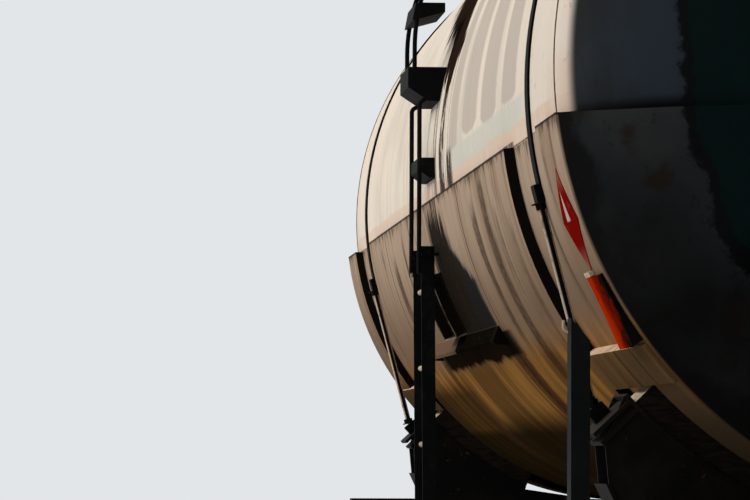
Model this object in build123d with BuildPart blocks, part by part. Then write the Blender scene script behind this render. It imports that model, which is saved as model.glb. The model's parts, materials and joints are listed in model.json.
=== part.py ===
from build123d import *
import os
from math import acos, asin, cos, degrees, radians, sin, sqrt, tan

os.makedirs("parts", exist_ok=True)

# A four-axle railway tank car for broad gauge, with a steam jacket round the lower half of its tank.
# +X points to the front end, +Z up, and the origin is on the plane that the wheel flanges stand on.
# Heights that end in _height are measured from the rail head, and names that end in _z are frame heights.

# Clearances
seat = 0.3
pin_play = 1.0
pivot_play = 3.0
running_gap = 8.0

# Wheels and axles
flange_height = 28.0
flange_thickness = 32.0
wheel_tread_diameter = 957.0
wheel_back_to_back = 1440.0
wheel_rim_width = 130.0
wheel_rim_depth = 75.0
wheel_hub_radius = 132.0
wheel_hub_length = 185.0
wheel_web_thickness = 26.0
wheel_web_fillet = 22.0
wheel_web_hub_offset = 70.0
wheel_web_rim_offset = 72.0
hub_lead = 10.0
flange_tip = 10.0
tread_root = 8.0
axle_seat_lead = 25.0
axle_taper = 60.0
axle_end_reach = 129.0
axle_middle_radius = 82.5
axle_seat_radius = 97.0
journal_radius = 65.0
journal_spacing = 2036.0
axle_length = journal_spacing + 2 * axle_end_reach

# Bogies
bogie_wheelbase = 1850.0
center_plate_height = 812.0
center_plate_radius = 150.0
bowl_rim_thickness = 30.0
bowl_rim_height = 26.0
frame_top_height = 750.0
frame_end_height = 700.0
frame_bottom_height = 150.0
frame_width = 150.0
frame_web = 24.0
frame_rim = 24.0
frame_crown_half = 330.0
frame_slope_end = 600.0
frame_horn = 100.0
frame_horn_drop = 50.0
frame_end_bevel = 20.0
frame_horn_low_height = 560.0
pedestal_leg = 60.0
pedestal_foot_height = 440.0
jaw_leg = 70.0
jaw_foot_height = 400.0
frame_keel_half = 360.0
frame_keel_rise = 15.0
side_window_post = 75.0
side_window_leg = 110.0
frame_corner_radius = 30.0
window_corner_radius = 36.0
window_half_width = 225.0
window_top_height = 640.0
spring_seat_height = 285.0
spring_seat_thickness = 24.0
spring_seat_width = 400.0
spring_height = 195.0
spring_diameter = 132.0
spring_pitch = 140.0
box_half_width = 160.0
box_top_rise = 139.5
box_top_height = wheel_tread_diameter / 2 + box_top_rise
box_length = 226.0
box_radius = 132.0
box_cover_inset = 14.0
pedestal_play = 5.0
bolster_half_width = 205.0
bolster_length = 2340.0
bolster_end_depth = 140.0
bolster_bend_radius = 45.0
bolster_crown_half = 220.0
bolster_crown_drop = 30.0
bolster_shoulder_y = 700.0
bolster_shoulder_drop = 90.0
bolster_neck_setback = 138.0
bolster_foot_setback = 198.0
bolster_belly_y = 560.0
bolster_belly_drop = 60.0
bowl_depth = 40.0
bearing_pad_length = 220.0
bearing_pad_width = 120.0
bearing_pad_root = 20.0
shoe_gap = 6.0
shoe_thickness = 46.0
shoe_width = 80.0
shoe_drop_angle = 10.0
shoe_half_angle = 19.0
shoe_side_play = 14.0
brake_beam_size = 60.0
brake_beam_drop = 80.0
brake_beam_setback = 10.0
brake_hanger_play = 14.0
brake_hanger_bar = 24.0
brake_hanger_pin_radius = 14.0
brake_hanger_height = 690.0

# Underframe
coupling_length = 12020.0
coupler_reach = 610.0
frame_length = coupling_length - 2 * coupler_reach
frame_overhang = 1500.0
bogie_spacing = frame_length - 2 * frame_overhang
saddle_x = bogie_spacing / 2
sill_rise = 110.0
sill_depth = 310.0
sill_web_spacing = 350.0
sill_plate = 12.0
sill_flange = 110.0
sill_to_jacket = 3.0
end_beam_width = 2980.0
end_beam_depth = 330.0
end_beam_flange = 170.0
body_bolster_width = 320.0
body_bolster_plate = 12.0
bolster_web_inset = 20.0
side_bearing_width = 150.0
side_bearing_depth = 30.0
side_sill_depth = 160.0
side_sill_flange = 70.0
side_sill_y = 1150.0
side_bearing_y = 762.0
side_bearing_gap = 10.0

# Tank and steam jacket
tank_radius = 1511.0
head_setback = 15.0
head_straight = 15.0
head_depth = 750.0
jacket_thickness = 40.0
jacket_top_angle = 7.0
window_near_reach = 600.0
window_far_reach = 400.0
jacket_middle_half = saddle_x - window_near_reach
window_end = saddle_x + window_far_reach
jacket_corner_reach = 260.0
jacket_crease = 1300.0
shelf_rear = -1600.0
shelf_front = 1360.0
shelf_reach = 55.0
shelf_top_angle = 29.7
shelf_edge_angle = 31.3
shelf_foot_angle = 33.2
shelf_plate_angle = 0.56
shelf_lip = 14.0
ledge_plate = 12.0
ledge_top_angle = 37.2
ledge_low_angle = 43.0
ledge_joint = 12.0
ledge_joint_setback = 195.0
ledge_joint_share = 0.31
ledge_end_setback = 20.0

# Saddles and tank straps
block_thickness = 100.0
block_width = 280.0
block_top_angle = 44.0
block_low_angle = 66.0
trough_thickness = 14.0
anchor_stand_off = 244.0
anchor_angle = 43.2
anchor_plate = 16.0
anchor_plate_gap = 24.0
anchor_width = 120.0
anchor_foot_depth = 68.0
arm_overrun = 1.5
bolster_floor_half = 700.0
arm_knee_y = 1080.0
arm_knee_rise = 110.0
arm_outer_y = 1250.0
arm_tip_drop = 150.0
strap_setback = 50.0
strap_width = 90.0
strap_thickness = 8.0
strap_rod_radius = 14.0

# Ladders, platform and hatch
ladder_half_width = 200.0
stringer_depth = 60.0
stringer_thickness = 10.0
ladder_stand_off = 19.0
ladder_top_height = 2400.0
ladder_bottom_height = 470.0
ladder_lean = 20.0
ladder_bracket_drop = 30.0
ladder_bracket_plate = 12.0
rung_pitch = 340.0
first_rung_drop = 190.0
rung_radius = 12.0
rung_count = 5
platform_half_length = 700.0
platform_half_width = 1050.0
deck_rise = 53.0
deck_thickness = 6.0
toe_board_height = 190.0
toe_board_thickness = 6.0
railing_rise = 365.0
rail_radius = 15.0
post_width = 75.0
hatch_radius = 300.0
hatch_wall = 14.0
hatch_rise = 233.0
hatch_flange = 45.0
hatch_flange_thickness = 22.0
lid_rise = 62.0
lid_plate = 12.0
lid_bolts = 8
lid_bolt_radius = 10.0
lid_hinge_reach = 395.0

# Couplers
coupler_rise = 138.0
coupler_pivot_depth = 470.0
shank_width = 130.0
shank_depth = 176.0
draft_pin_radius = 34.0
coupler_eye_radius = draft_pin_radius + 44.0
draft_pin_play = 0.5
draft_pin_overrun = 20.0
shank_root = 340.0
yoke_length = 640.0
yoke_strap = 26.0
yoke_play = 4.0
fork_root = 60.0
fork_reach = 70.0

# Positions that follow from the sizes
rail_z = flange_height
tread_radius = wheel_tread_diameter / 2
flange_radius = tread_radius + flange_height
axle_z = rail_z + tread_radius
wheel_inner_y = wheel_back_to_back / 2
wheel_outer_y = wheel_inner_y + wheel_rim_width
half_wheelbase = bogie_wheelbase / 2
journal_y = journal_spacing / 2
jacket_radius = tank_radius + jacket_thickness
shelf_radius = jacket_radius + shelf_reach
anchor_reach = jacket_radius + anchor_stand_off
ladder_outer_y = jacket_radius + ladder_stand_off
center_plate_z = rail_z + center_plate_height
sill_bottom_z = center_plate_z + sill_rise
sill_top_z = sill_bottom_z + sill_depth
tank_axis_z = sill_top_z + sill_to_jacket + jacket_radius
tank_axis = Axis((0, 0, tank_axis_z), (1, 0, 0))
sill_outer_y = sill_web_spacing / 2 + sill_plate / 2
sill_inner_y = sill_web_spacing / 2 - sill_plate / 2
end_beam_x = frame_length / 2
head_base_x = end_beam_x - head_setback - head_depth
half_cylinder = head_base_x - head_straight
jacket_corner = half_cylinder + jacket_corner_reach
strap_x = saddle_x - strap_setback
coupler_pivot_x = end_beam_x - coupler_pivot_depth
end_beam_top_z = sill_top_z
end_beam_bottom_z = end_beam_top_z - end_beam_depth
block_outer_radius = tank_radius + seat + block_thickness
trough_radius = block_outer_radius + seat
trough_outer_radius = trough_radius + trough_thickness
coupler_z = sill_bottom_z + coupler_rise
ladder_top_z = rail_z + ladder_top_height
ladder_bottom_z = rail_z + ladder_bottom_height
tank_top_z = tank_axis_z + tank_radius
deck_z = tank_top_z + deck_rise
rail_bar_z = deck_z + railing_rise
hatch_z = tank_top_z + hatch_rise


def around_tank(radius, angle_below, side=1):
    """Point (y, z) at a radius from the tank's axis and an angle below its horizontal plane."""
    return (side * radius * cos(radians(angle_below)), tank_axis_z - radius * sin(radians(angle_below)))


def ring_sector(inner_radius, outer_radius, start_angle, end_angle):
    """Face in (y, z) between two arcs round the tank's axis, with angles measured from +Y towards +Z."""
    centre = (0, tank_axis_z)
    sweep_angle = end_angle - start_angle
    with BuildSketch() as sector:
        with BuildLine():
            outer = CenterArc(centre, outer_radius, start_angle, sweep_angle)
            inner = CenterArc(centre, inner_radius, start_angle, sweep_angle)
            Line(outer @ 0, inner @ 0)
            Line(outer @ 1, inner @ 1)
        make_face()
    return sector.sketch


def export_node(part, name):
    """Label one piece and write it to its STEP file."""
    part.label = name
    export_step(part, f"parts/{name}.step")


# Tank shell: a cylinder closed by two elliptical heads, turned about the tank's axis
with BuildPart() as tank_shell:
    with BuildSketch(Plane.XZ):
        with BuildLine():
            front_head = EllipticalCenterArc(
                (head_base_x, tank_axis_z), head_depth, tank_radius, 0, arc_size=90
            )
            rear_head = mirror(front_head, about=Plane.YZ).edge()
            Line(rear_head @ 1, front_head @ 1)
            Line(rear_head @ 0, front_head @ 0)
        make_face()
    revolve(axis=tank_axis)
export_node(tank_shell.part, "tank_shell")

# Steam jacket, middle length: a sleeve round the lower part of the tank
with BuildPart() as jacket_middle:
    with BuildSketch(Plane.YZ.offset(-jacket_middle_half)):
        add(ring_sector(tank_radius + seat, jacket_radius, 180 + jacket_top_angle, 360 - jacket_top_angle))
    extrude(amount=2 * jacket_middle_half)
export_node(jacket_middle.part, "jacket_middle")


# Steam jacket, ends: a short sleeve that turns a sharp corner and covers the lower half of the head
def jacket_end():
    """The front jacket end, cut off level below the tank's axis."""
    cover_depth = head_depth + jacket_thickness
    crease_x = head_base_x + cover_depth * sqrt(1 - (jacket_crease / jacket_radius) ** 2)
    crease_angle = degrees(asin(jacket_crease / jacket_radius))
    with BuildPart() as end:
        with BuildSketch(Plane.XZ):
            with BuildLine():
                inner_arc = EllipticalCenterArc(
                    (head_base_x, tank_axis_z), head_depth + seat, tank_radius + seat, 0, arc_size=90
                )
                sleeve_inner = Line(inner_arc @ 1, (window_end, tank_axis_z + tank_radius + seat))
                sleeve_end = Line(sleeve_inner @ 1, (window_end, tank_axis_z + jacket_radius))
                sleeve_outer = Line(sleeve_end @ 1, (jacket_corner, tank_axis_z + jacket_radius))
                Line(sleeve_outer @ 1, (crease_x, tank_axis_z + jacket_crease))
                cover = EllipticalCenterArc(
                    (head_base_x, tank_axis_z), cover_depth, jacket_radius, 0, arc_size=crease_angle
                )
                Line(cover @ 0, inner_arc @ 0)
            make_face()
        revolve(axis=tank_axis)
        cut_height = jacket_radius * sin(radians(jacket_top_angle))
        with Locations((head_base_x, 0, tank_axis_z - cut_height)):
            Box(
                4 * jacket_radius,
                4 * jacket_radius,
                2 * jacket_radius,
                align=(Align.CENTER, Align.CENTER, Align.MIN),
                mode=Mode.SUBTRACT,
            )
    return end.part


with BuildPart() as jacket_ends:
    add(jacket_end())
    mirror(about=Plane.YZ)
export_node(jacket_ends.part, "jacket_ends")

# Drip shelf along each flank of the jacket: a sloping plate closed by a lip at both ends
with BuildPart() as jacket_aprons:
    wall_radius = jacket_radius + seat
    for side in (-1, 1):
        crest = around_tank(wall_radius, shelf_top_angle, side)
        edge = around_tank(shelf_radius, shelf_edge_angle, side)
        under_edge = around_tank(shelf_radius, shelf_edge_angle + shelf_plate_angle, side)
        under_crest = around_tank(wall_radius, shelf_top_angle + shelf_plate_angle, side)
        foot = around_tank(wall_radius, shelf_foot_angle, side)
        with BuildSketch(Plane.YZ.offset(shelf_rear)):
            with BuildLine():
                Polyline(crest, edge, under_edge, under_crest, close=True)
            make_face()
        extrude(amount=shelf_front - shelf_rear)
        for lip_x in (shelf_rear, shelf_front - shelf_lip):
            with BuildSketch(Plane.YZ.offset(lip_x)):
                with BuildLine():
                    Polyline(crest, edge, under_edge, foot)
                    middle = around_tank(wall_radius, (shelf_foot_angle + shelf_top_angle) / 2, side)
                    ThreePointArc(foot, middle, crest)
                make_face()
            extrude(amount=shelf_lip)
export_node(jacket_aprons.part, "jacket_aprons")

# Covers under each bare window: two bridge the gap in the jacket, two lie on its end sleeve
with BuildPart() as window_ledges:
    window_joint_x = window_end - ledge_joint_setback
    ledge_end_x = jacket_corner - ledge_end_setback
    sleeve_joint_x = window_end + ledge_joint_share * (ledge_end_x - window_end)
    ledge_rows = (
        # near end, far end, radius that it lies on
        (jacket_middle_half + seat, window_joint_x, tank_radius),
        (window_joint_x + ledge_joint, window_end - seat, tank_radius),
        (window_end, sleeve_joint_x, jacket_radius),
        (sleeve_joint_x + ledge_joint, ledge_end_x, jacket_radius),
    )
    for end_side in (-1, 1):
        for near_x, far_x, base_radius in ledge_rows:
            start_x = near_x if end_side > 0 else -far_x
            for start, end in (
                (360 - ledge_low_angle, 360 - ledge_top_angle),
                (180 + ledge_top_angle, 180 + ledge_low_angle),
            ):
                with BuildSketch(Plane.YZ.offset(start_x)):
                    add(ring_sector(base_radius + seat, jacket_radius + ledge_plate, start, end))
                extrude(amount=far_x - near_x)
export_node(window_ledges.part, "window_ledges")

# Wooden blocks between the tank and its saddles
with BuildPart() as saddle_blocks:
    for end_side in (-1, 1):
        for start, end in (
            (360 - block_low_angle, 360 - block_top_angle),
            (180 + block_top_angle, 180 + block_low_angle),
        ):
            with BuildSketch(Plane.YZ.offset(end_side * saddle_x - block_width / 2)):
                add(ring_sector(tank_radius + seat, block_outer_radius, start, end))
            extrude(amount=block_width)
export_node(saddle_blocks.part, "saddle_blocks")

# Center sill: two webs, a top cover and bottom flanges turned outwards, open below
outlet_hole_radius = 130.0
with BuildPart() as center_sill:
    with BuildSketch(Plane.YZ.offset(-end_beam_x + sill_plate)):
        with BuildLine():
            Polyline(
                (-sill_outer_y - sill_flange, sill_bottom_z),
                (-sill_inner_y, sill_bottom_z),
                (-sill_inner_y, sill_top_z - sill_plate),
                (sill_inner_y, sill_top_z - sill_plate),
                (sill_inner_y, sill_bottom_z),
                (sill_outer_y + sill_flange, sill_bottom_z),
                (sill_outer_y + sill_flange, sill_bottom_z + sill_plate),
                (sill_outer_y, sill_bottom_z + sill_plate),
                (sill_outer_y, sill_top_z),
                (-sill_outer_y, sill_top_z),
                (-sill_outer_y, sill_bottom_z + sill_plate),
                (-sill_outer_y - sill_flange, sill_bottom_z + sill_plate),
                close=True,
            )
        make_face()
    extrude(amount=2 * (end_beam_x - sill_plate))
    with Locations((0, 0, sill_top_z)):
        Cylinder(outlet_hole_radius, 4 * sill_plate, mode=Mode.SUBTRACT)
export_node(center_sill.part, "center_sill")

# Middle feet: brackets that tie the tank's belly to the center sill
foot_x = 900.0
foot_length = 420.0
foot_reach_y = 520.0
foot_plate = 14.0
with BuildPart() as middle_feet:
    foot_contact_angle = degrees(asin(foot_reach_y / (jacket_radius + seat)))
    inner_contact_angle = degrees(asin((sill_outer_y + seat) / (jacket_radius + seat)))
    for x_centre in (-foot_x, foot_x):
        for side in (-1, 1):
            low_z = sill_bottom_z + sill_plate + seat
            for web_x in (x_centre - foot_length / 2, x_centre + foot_length / 2 - foot_plate):
                with BuildSketch(Plane.YZ.offset(web_x)):
                    with BuildLine():
                        outer_top = around_tank(jacket_radius + seat, 90 - foot_contact_angle, side)
                        inner_top = around_tank(jacket_radius + seat, 90 - inner_contact_angle, side)
                        middle_top = around_tank(
                            jacket_radius + seat, 90 - (foot_contact_angle + inner_contact_angle) / 2, side
                        )
                        ThreePointArc(inner_top, middle_top, outer_top)
                        Polyline(
                            outer_top,
                            (side * foot_reach_y, outer_top[1] - foot_plate * 3),
                            (side * (sill_outer_y + sill_flange), low_z + foot_plate),
                            (side * (sill_outer_y + sill_flange), low_z),
                            (side * (sill_outer_y + seat), low_z),
                            inner_top,
                        )
                    make_face()
                extrude(amount=foot_plate)
            with BuildSketch(Plane.XY.offset(low_z)):
                with Locations((x_centre, side * (sill_outer_y + seat + (sill_flange - seat) / 2))):
                    Rectangle(foot_length, sill_flange - seat)
            extrude(amount=foot_plate)
export_node(middle_feet.part, "middle_feet")


# Body bolster with its two saddles, the upper center plate and the upper side bearings
def body_bolster(x_centre):
    """Bolster box under the center sill with arms that rise to the saddle troughs."""
    tip_radius = anchor_reach - anchor_plate
    knee_z = sill_bottom_z + arm_knee_rise
    anchor_pitch_angle = degrees((anchor_plate + anchor_plate_gap) / anchor_reach)
    anchor_plate_angle = degrees(anchor_plate / anchor_reach)
    flange_clear_y = sill_outer_y + sill_flange + seat
    flange_clear_z = sill_bottom_z + sill_plate + seat
    with BuildPart() as bolster:
        with BuildSketch(Plane.XY.offset(sill_bottom_z - body_bolster_plate)):
            with Locations((x_centre, 0)):
                Rectangle(body_bolster_width, 2 * bolster_floor_half)
        extrude(amount=body_bolster_plate)
        for side in (-1, 1):
            trough_low = around_tank(trough_outer_radius, block_low_angle, side)
            trough_middle = around_tank(trough_outer_radius, (block_low_angle + block_top_angle) / 2, side)
            trough_top = around_tank(trough_outer_radius, block_top_angle - arm_overrun, side)
            arm_tip = around_tank(tip_radius, anchor_angle + arm_overrun, side)
            for web_x in (
                x_centre - body_bolster_width / 2 + bolster_web_inset,
                x_centre + body_bolster_width / 2 - bolster_web_inset - body_bolster_plate,
            ):
                with BuildSketch(Plane.YZ.offset(web_x)):
                    with BuildLine():
                        ThreePointArc(trough_low, trough_middle, trough_top)
                        Polyline(
                            trough_top,
                            arm_tip,
                            (side * arm_outer_y, arm_tip[1] - arm_tip_drop),
                            (side * arm_knee_y, knee_z),
                            (side * bolster_floor_half, sill_bottom_z),
                            (side * flange_clear_y, sill_bottom_z),
                            (side * flange_clear_y, flange_clear_z),
                            (side * (sill_outer_y + seat), flange_clear_z),
                            (side * (sill_outer_y + seat), sill_top_z),
                            trough_low,
                        )
                    make_face()
                extrude(amount=body_bolster_plate)
            with BuildSketch(Plane.YZ.offset(x_centre - body_bolster_width / 2)):
                trough_start = block_top_angle - arm_overrun
                start = 360 - block_low_angle if side > 0 else 180 + trough_start
                trough_span = block_low_angle - trough_start
                add(ring_sector(trough_radius, trough_outer_radius, start, start + trough_span))
            extrude(amount=body_bolster_width)
            for plate_top in (anchor_angle, anchor_angle + anchor_pitch_angle):
                plate_start = 360 - plate_top - anchor_plate_angle if side > 0 else 180 + plate_top
                with BuildSketch(Plane.YZ.offset(x_centre - body_bolster_width / 2)):
                    add(
                        ring_sector(
                            trough_radius, anchor_reach, plate_start, plate_start + anchor_plate_angle
                        )
                    )
                extrude(amount=body_bolster_width)
            with BuildSketch(Plane.YZ.offset(x_centre - body_bolster_width / 2)):
                with BuildLine():
                    Polyline(
                        (side * bolster_floor_half, sill_bottom_z - body_bolster_plate),
                        (side * bolster_floor_half, sill_bottom_z),
                        (side * arm_knee_y, knee_z),
                        (side * arm_outer_y, arm_tip[1] - arm_tip_drop),
                        (side * (arm_outer_y + body_bolster_plate), arm_tip[1] - arm_tip_drop),
                        (side * (arm_knee_y + body_bolster_plate), knee_z - body_bolster_plate),
                        close=True,
                    )
                make_face()
            extrude(amount=body_bolster_width)
            with Locations((x_centre, side * side_bearing_y, sill_bottom_z - body_bolster_plate)):
                Box(
                    body_bolster_width - 4 * bolster_web_inset,
                    side_bearing_width,
                    side_bearing_depth,
                    align=(Align.CENTER, Align.CENTER, Align.MAX),
                )
        with Locations((x_centre, 0, center_plate_z + seat)):
            Cylinder(
                center_plate_radius,
                sill_bottom_z - body_bolster_plate - center_plate_z - seat,
                align=(Align.CENTER, Align.CENTER, Align.MIN),
            )
    return bolster.part


with BuildPart() as body_bolsters:
    for x_centre in (saddle_x, -saddle_x):
        add(body_bolster(x_centre))
export_node(body_bolsters.part, "body_bolsters")


def round_bar(start, end, radius):
    """Straight round bar between two points."""
    line = Vector(*end) - Vector(*start)
    with BuildPart() as bar:
        with BuildSketch(Plane(origin=start, z_dir=line)):
            Circle(radius)
        extrude(amount=line.length)
    return bar.part


def bend_radii(points, share=0.45):
    """Bends that take up a share of the straight runs between the points."""
    runs = [Vector(*end) - Vector(*start) for start, end in zip(points, points[1:])]
    return [
        share * min(before.length, after.length) / tan(radians(before.get_angle(after)) / 2)
        for before, after in zip(runs, runs[1:])
    ]


def bent_bar(points, radii, bar_radius):
    """Round bar along straight runs joined by tangent arcs."""
    with BuildPart() as bar:
        with BuildLine() as path:
            FilletPolyline(*points, radius=radii)
        first_run = Vector(*points[1]) - Vector(*points[0])
        with BuildSketch(Plane(origin=points[0], z_dir=first_run)):
            Circle(bar_radius)
        sweep(path=path.wires()[0])
    return bar.part


def plain_box(x_range, y_range, z_range):
    """Rectangular block between three pairs of limits."""
    with BuildPart() as block:
        with BuildSketch(Plane.XY.offset(z_range[0])):
            with Locations(((x_range[0] + x_range[1]) / 2, (y_range[0] + y_range[1]) / 2)):
                Rectangle(abs(x_range[1] - x_range[0]), abs(y_range[1] - y_range[0]))
        extrude(amount=z_range[1] - z_range[0])
    return block.part


# Tank strap: a band over the top, and on each flank a lug, a tension rod and the rod's foot on its anchor
def tank_strap(x_centre):
    """Strap of one saddle."""
    band_inner = tank_radius + seat
    rod_line_radius = band_inner + strap_rod_radius + seat
    anchor_radius = (trough_outer_radius + anchor_reach) / 2
    foot_span = 1.6
    foot_gap = degrees(seat / anchor_radius)
    lug_span = 2.4
    rod_foot_angle = anchor_angle - foot_span
    tangent_angle = rod_foot_angle - degrees(acos(rod_line_radius / anchor_radius))
    with BuildPart() as strap:
        with BuildSketch(Plane.YZ.offset(x_centre - strap_width / 2)):
            add(ring_sector(band_inner, band_inner + strap_thickness, -tangent_angle, 180 + tangent_angle))
            for side in (-1, 1):
                start = 360 - tangent_angle if side > 0 else 180 + tangent_angle
                start -= lug_span / 2
                lug_radius = band_inner + 2 * strap_rod_radius + seat
                add(ring_sector(band_inner, lug_radius, start, start + lug_span))
        extrude(amount=strap_width)
        for side in (-1, 1):
            top = around_tank(rod_line_radius, tangent_angle, side)
            foot = around_tank(anchor_radius, rod_foot_angle, side)
            add(round_bar((x_centre, *top), (x_centre, *foot), strap_rod_radius))
            with BuildSketch(Plane.YZ.offset(x_centre - anchor_width / 4)):
                start = 360 - anchor_angle + foot_gap if side > 0 else 180 + anchor_angle - foot_span
                inner_radius = anchor_radius - anchor_foot_depth / 2
                end = start + foot_span - foot_gap
                add(ring_sector(inner_radius, inner_radius + anchor_foot_depth, start, end))
            extrude(amount=anchor_width / 2)
    return strap.part


with BuildPart() as tank_straps:
    for x_centre in (strap_x, -strap_x):
        add(tank_strap(x_centre))
export_node(tank_straps.part, "tank_straps")

# End beams: a channel across each end with an opening and a striker casting for the coupler
striker_depth = 60.0
striker_wall = 40.0
opening_half_width = 132.0
opening_half_height = 104.0


def end_beam():
    """Front end beam."""
    with BuildPart() as beam:
        with BuildSketch(Plane.XZ.offset(-end_beam_width / 2)):
            with BuildLine():
                Polyline(
                    (end_beam_x, end_beam_bottom_z),
                    (end_beam_x, end_beam_top_z),
                    (end_beam_x - end_beam_flange, end_beam_top_z),
                    (end_beam_x - end_beam_flange, end_beam_top_z - sill_plate + seat),
                    (end_beam_x - sill_plate + seat, end_beam_top_z - sill_plate + seat),
                    (end_beam_x - sill_plate + seat, end_beam_bottom_z + sill_plate),
                    (end_beam_x - end_beam_flange, end_beam_bottom_z + sill_plate),
                    (end_beam_x - end_beam_flange, end_beam_bottom_z),
                    close=True,
                )
            make_face()
        extrude(amount=end_beam_width)
        notch_x = end_beam_x - end_beam_flange
        add(
            plain_box(
                (notch_x - 1.0, end_beam_x - sill_plate + seat),
                (-sill_outer_y - seat, sill_outer_y + seat),
                (sill_bottom_z - seat, end_beam_top_z + 1.0),
            ),
            mode=Mode.SUBTRACT,
        )
        with BuildSketch(Plane.YZ.offset(end_beam_x)):
            with Locations((0, coupler_z)):
                Rectangle(2 * (opening_half_width + striker_wall), 2 * (opening_half_height + striker_wall))
        extrude(amount=striker_depth)
        with BuildSketch(Plane.YZ.offset(end_beam_x - sill_plate)):
            with Locations((0, coupler_z)):
                Rectangle(2 * opening_half_width, 2 * opening_half_height)
        extrude(amount=sill_plate + striker_depth, mode=Mode.SUBTRACT)
    return beam.part


with BuildPart() as end_beams:
    add(end_beam())
    mirror(about=Plane.YZ)
export_node(end_beams.part, "end_beams")

# Side sills: short channels from each end beam back to its bolster
with BuildPart() as side_sills:
    sill_run_start = saddle_x + body_bolster_width / 2 + seat
    sill_run_end = end_beam_x - sill_plate
    for end_side in (-1, 1):
        for side in (-1, 1):
            start_x = sill_run_start if end_side > 0 else -sill_run_end
            with BuildSketch(Plane.YZ.offset(start_x)):
                with BuildLine():
                    inner_y = side * (side_sill_y - side_sill_flange)
                    outer_y = side * side_sill_y
                    web_y = side * (side_sill_y - sill_plate)
                    top_z = end_beam_top_z - sill_plate
                    low_z = top_z - side_sill_depth
                    Polyline(
                        (inner_y, low_z),
                        (outer_y, low_z),
                        (outer_y, top_z),
                        (inner_y, top_z),
                        (inner_y, top_z - sill_plate),
                        (web_y, top_z - sill_plate),
                        (web_y, low_z + sill_plate),
                        (inner_y, low_z + sill_plate),
                        close=True,
                    )
                make_face()
            extrude(amount=sill_run_end - sill_run_start)
export_node(side_sills.part, "side_sills")


# Side ladders: stringers, rungs, outriggers to the center sill, treads on the shell and handrails
handrail_y = ladder_outer_y + 8.0
handrail_radius = 10.0
handrail_lap = 120.0
handrail_bend_rise = 274.0
handrail_bend_radius = 22.0
handrail_end_drop = 25.0
handrail_end_rise = 15.0
ladder_bracket_lap = 30.0
outrigger_lap = 20.0
outrigger_depth = 60.0
outrigger_height = 1010.0
tread_length = 2 * ladder_half_width + 2 * handrail_radius + 6.0
shell_treads = (
    # rise of the tread's top over the tank's axis, reach from the shell, depth of the box
    (4.0, 70.0, 90.0),
    (404.0, 140.0, 150.0),
)
rail_tread_rises = (689.0, 1079.0, 1404.0)
rail_tread_reach = 130.0
rail_tread_depth = 80.0
rail_tread_flare = 15.0
upper_rail_stand_off = 49.0
upper_rail_foot_rise = 344.0
upper_rail_bend_rise = 614.0
upper_rail_gap = 20.0
upper_rail_knee_y = 1333.0
upper_rail_knee_drop = 468.0
upper_rail_run = (
    # distance from the middle plane, rise over the tank's axis
    (jacket_radius + upper_rail_stand_off, upper_rail_foot_rise),
    (jacket_radius + upper_rail_stand_off, upper_rail_bend_rise),
    (upper_rail_knee_y, rail_bar_z - tank_axis_z - upper_rail_knee_drop),
    (platform_half_width + rail_radius + upper_rail_gap, rail_bar_z - tank_axis_z),
)


def rail_y(rise):
    """Distance of the upper rails from the middle plane at a rise over the tank's axis."""
    for (near_y, low), (far_y, high) in zip(upper_rail_run, upper_rail_run[1:]):
        if low <= rise <= high:
            return near_y + (far_y - near_y) * (rise - low) / (high - low)
    return upper_rail_run[-1][0]


def shell_y(z, radius):
    """Half width of a cylinder round the tank's axis at a height."""
    return sqrt(radius**2 - (z - tank_axis_z) ** 2)


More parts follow.
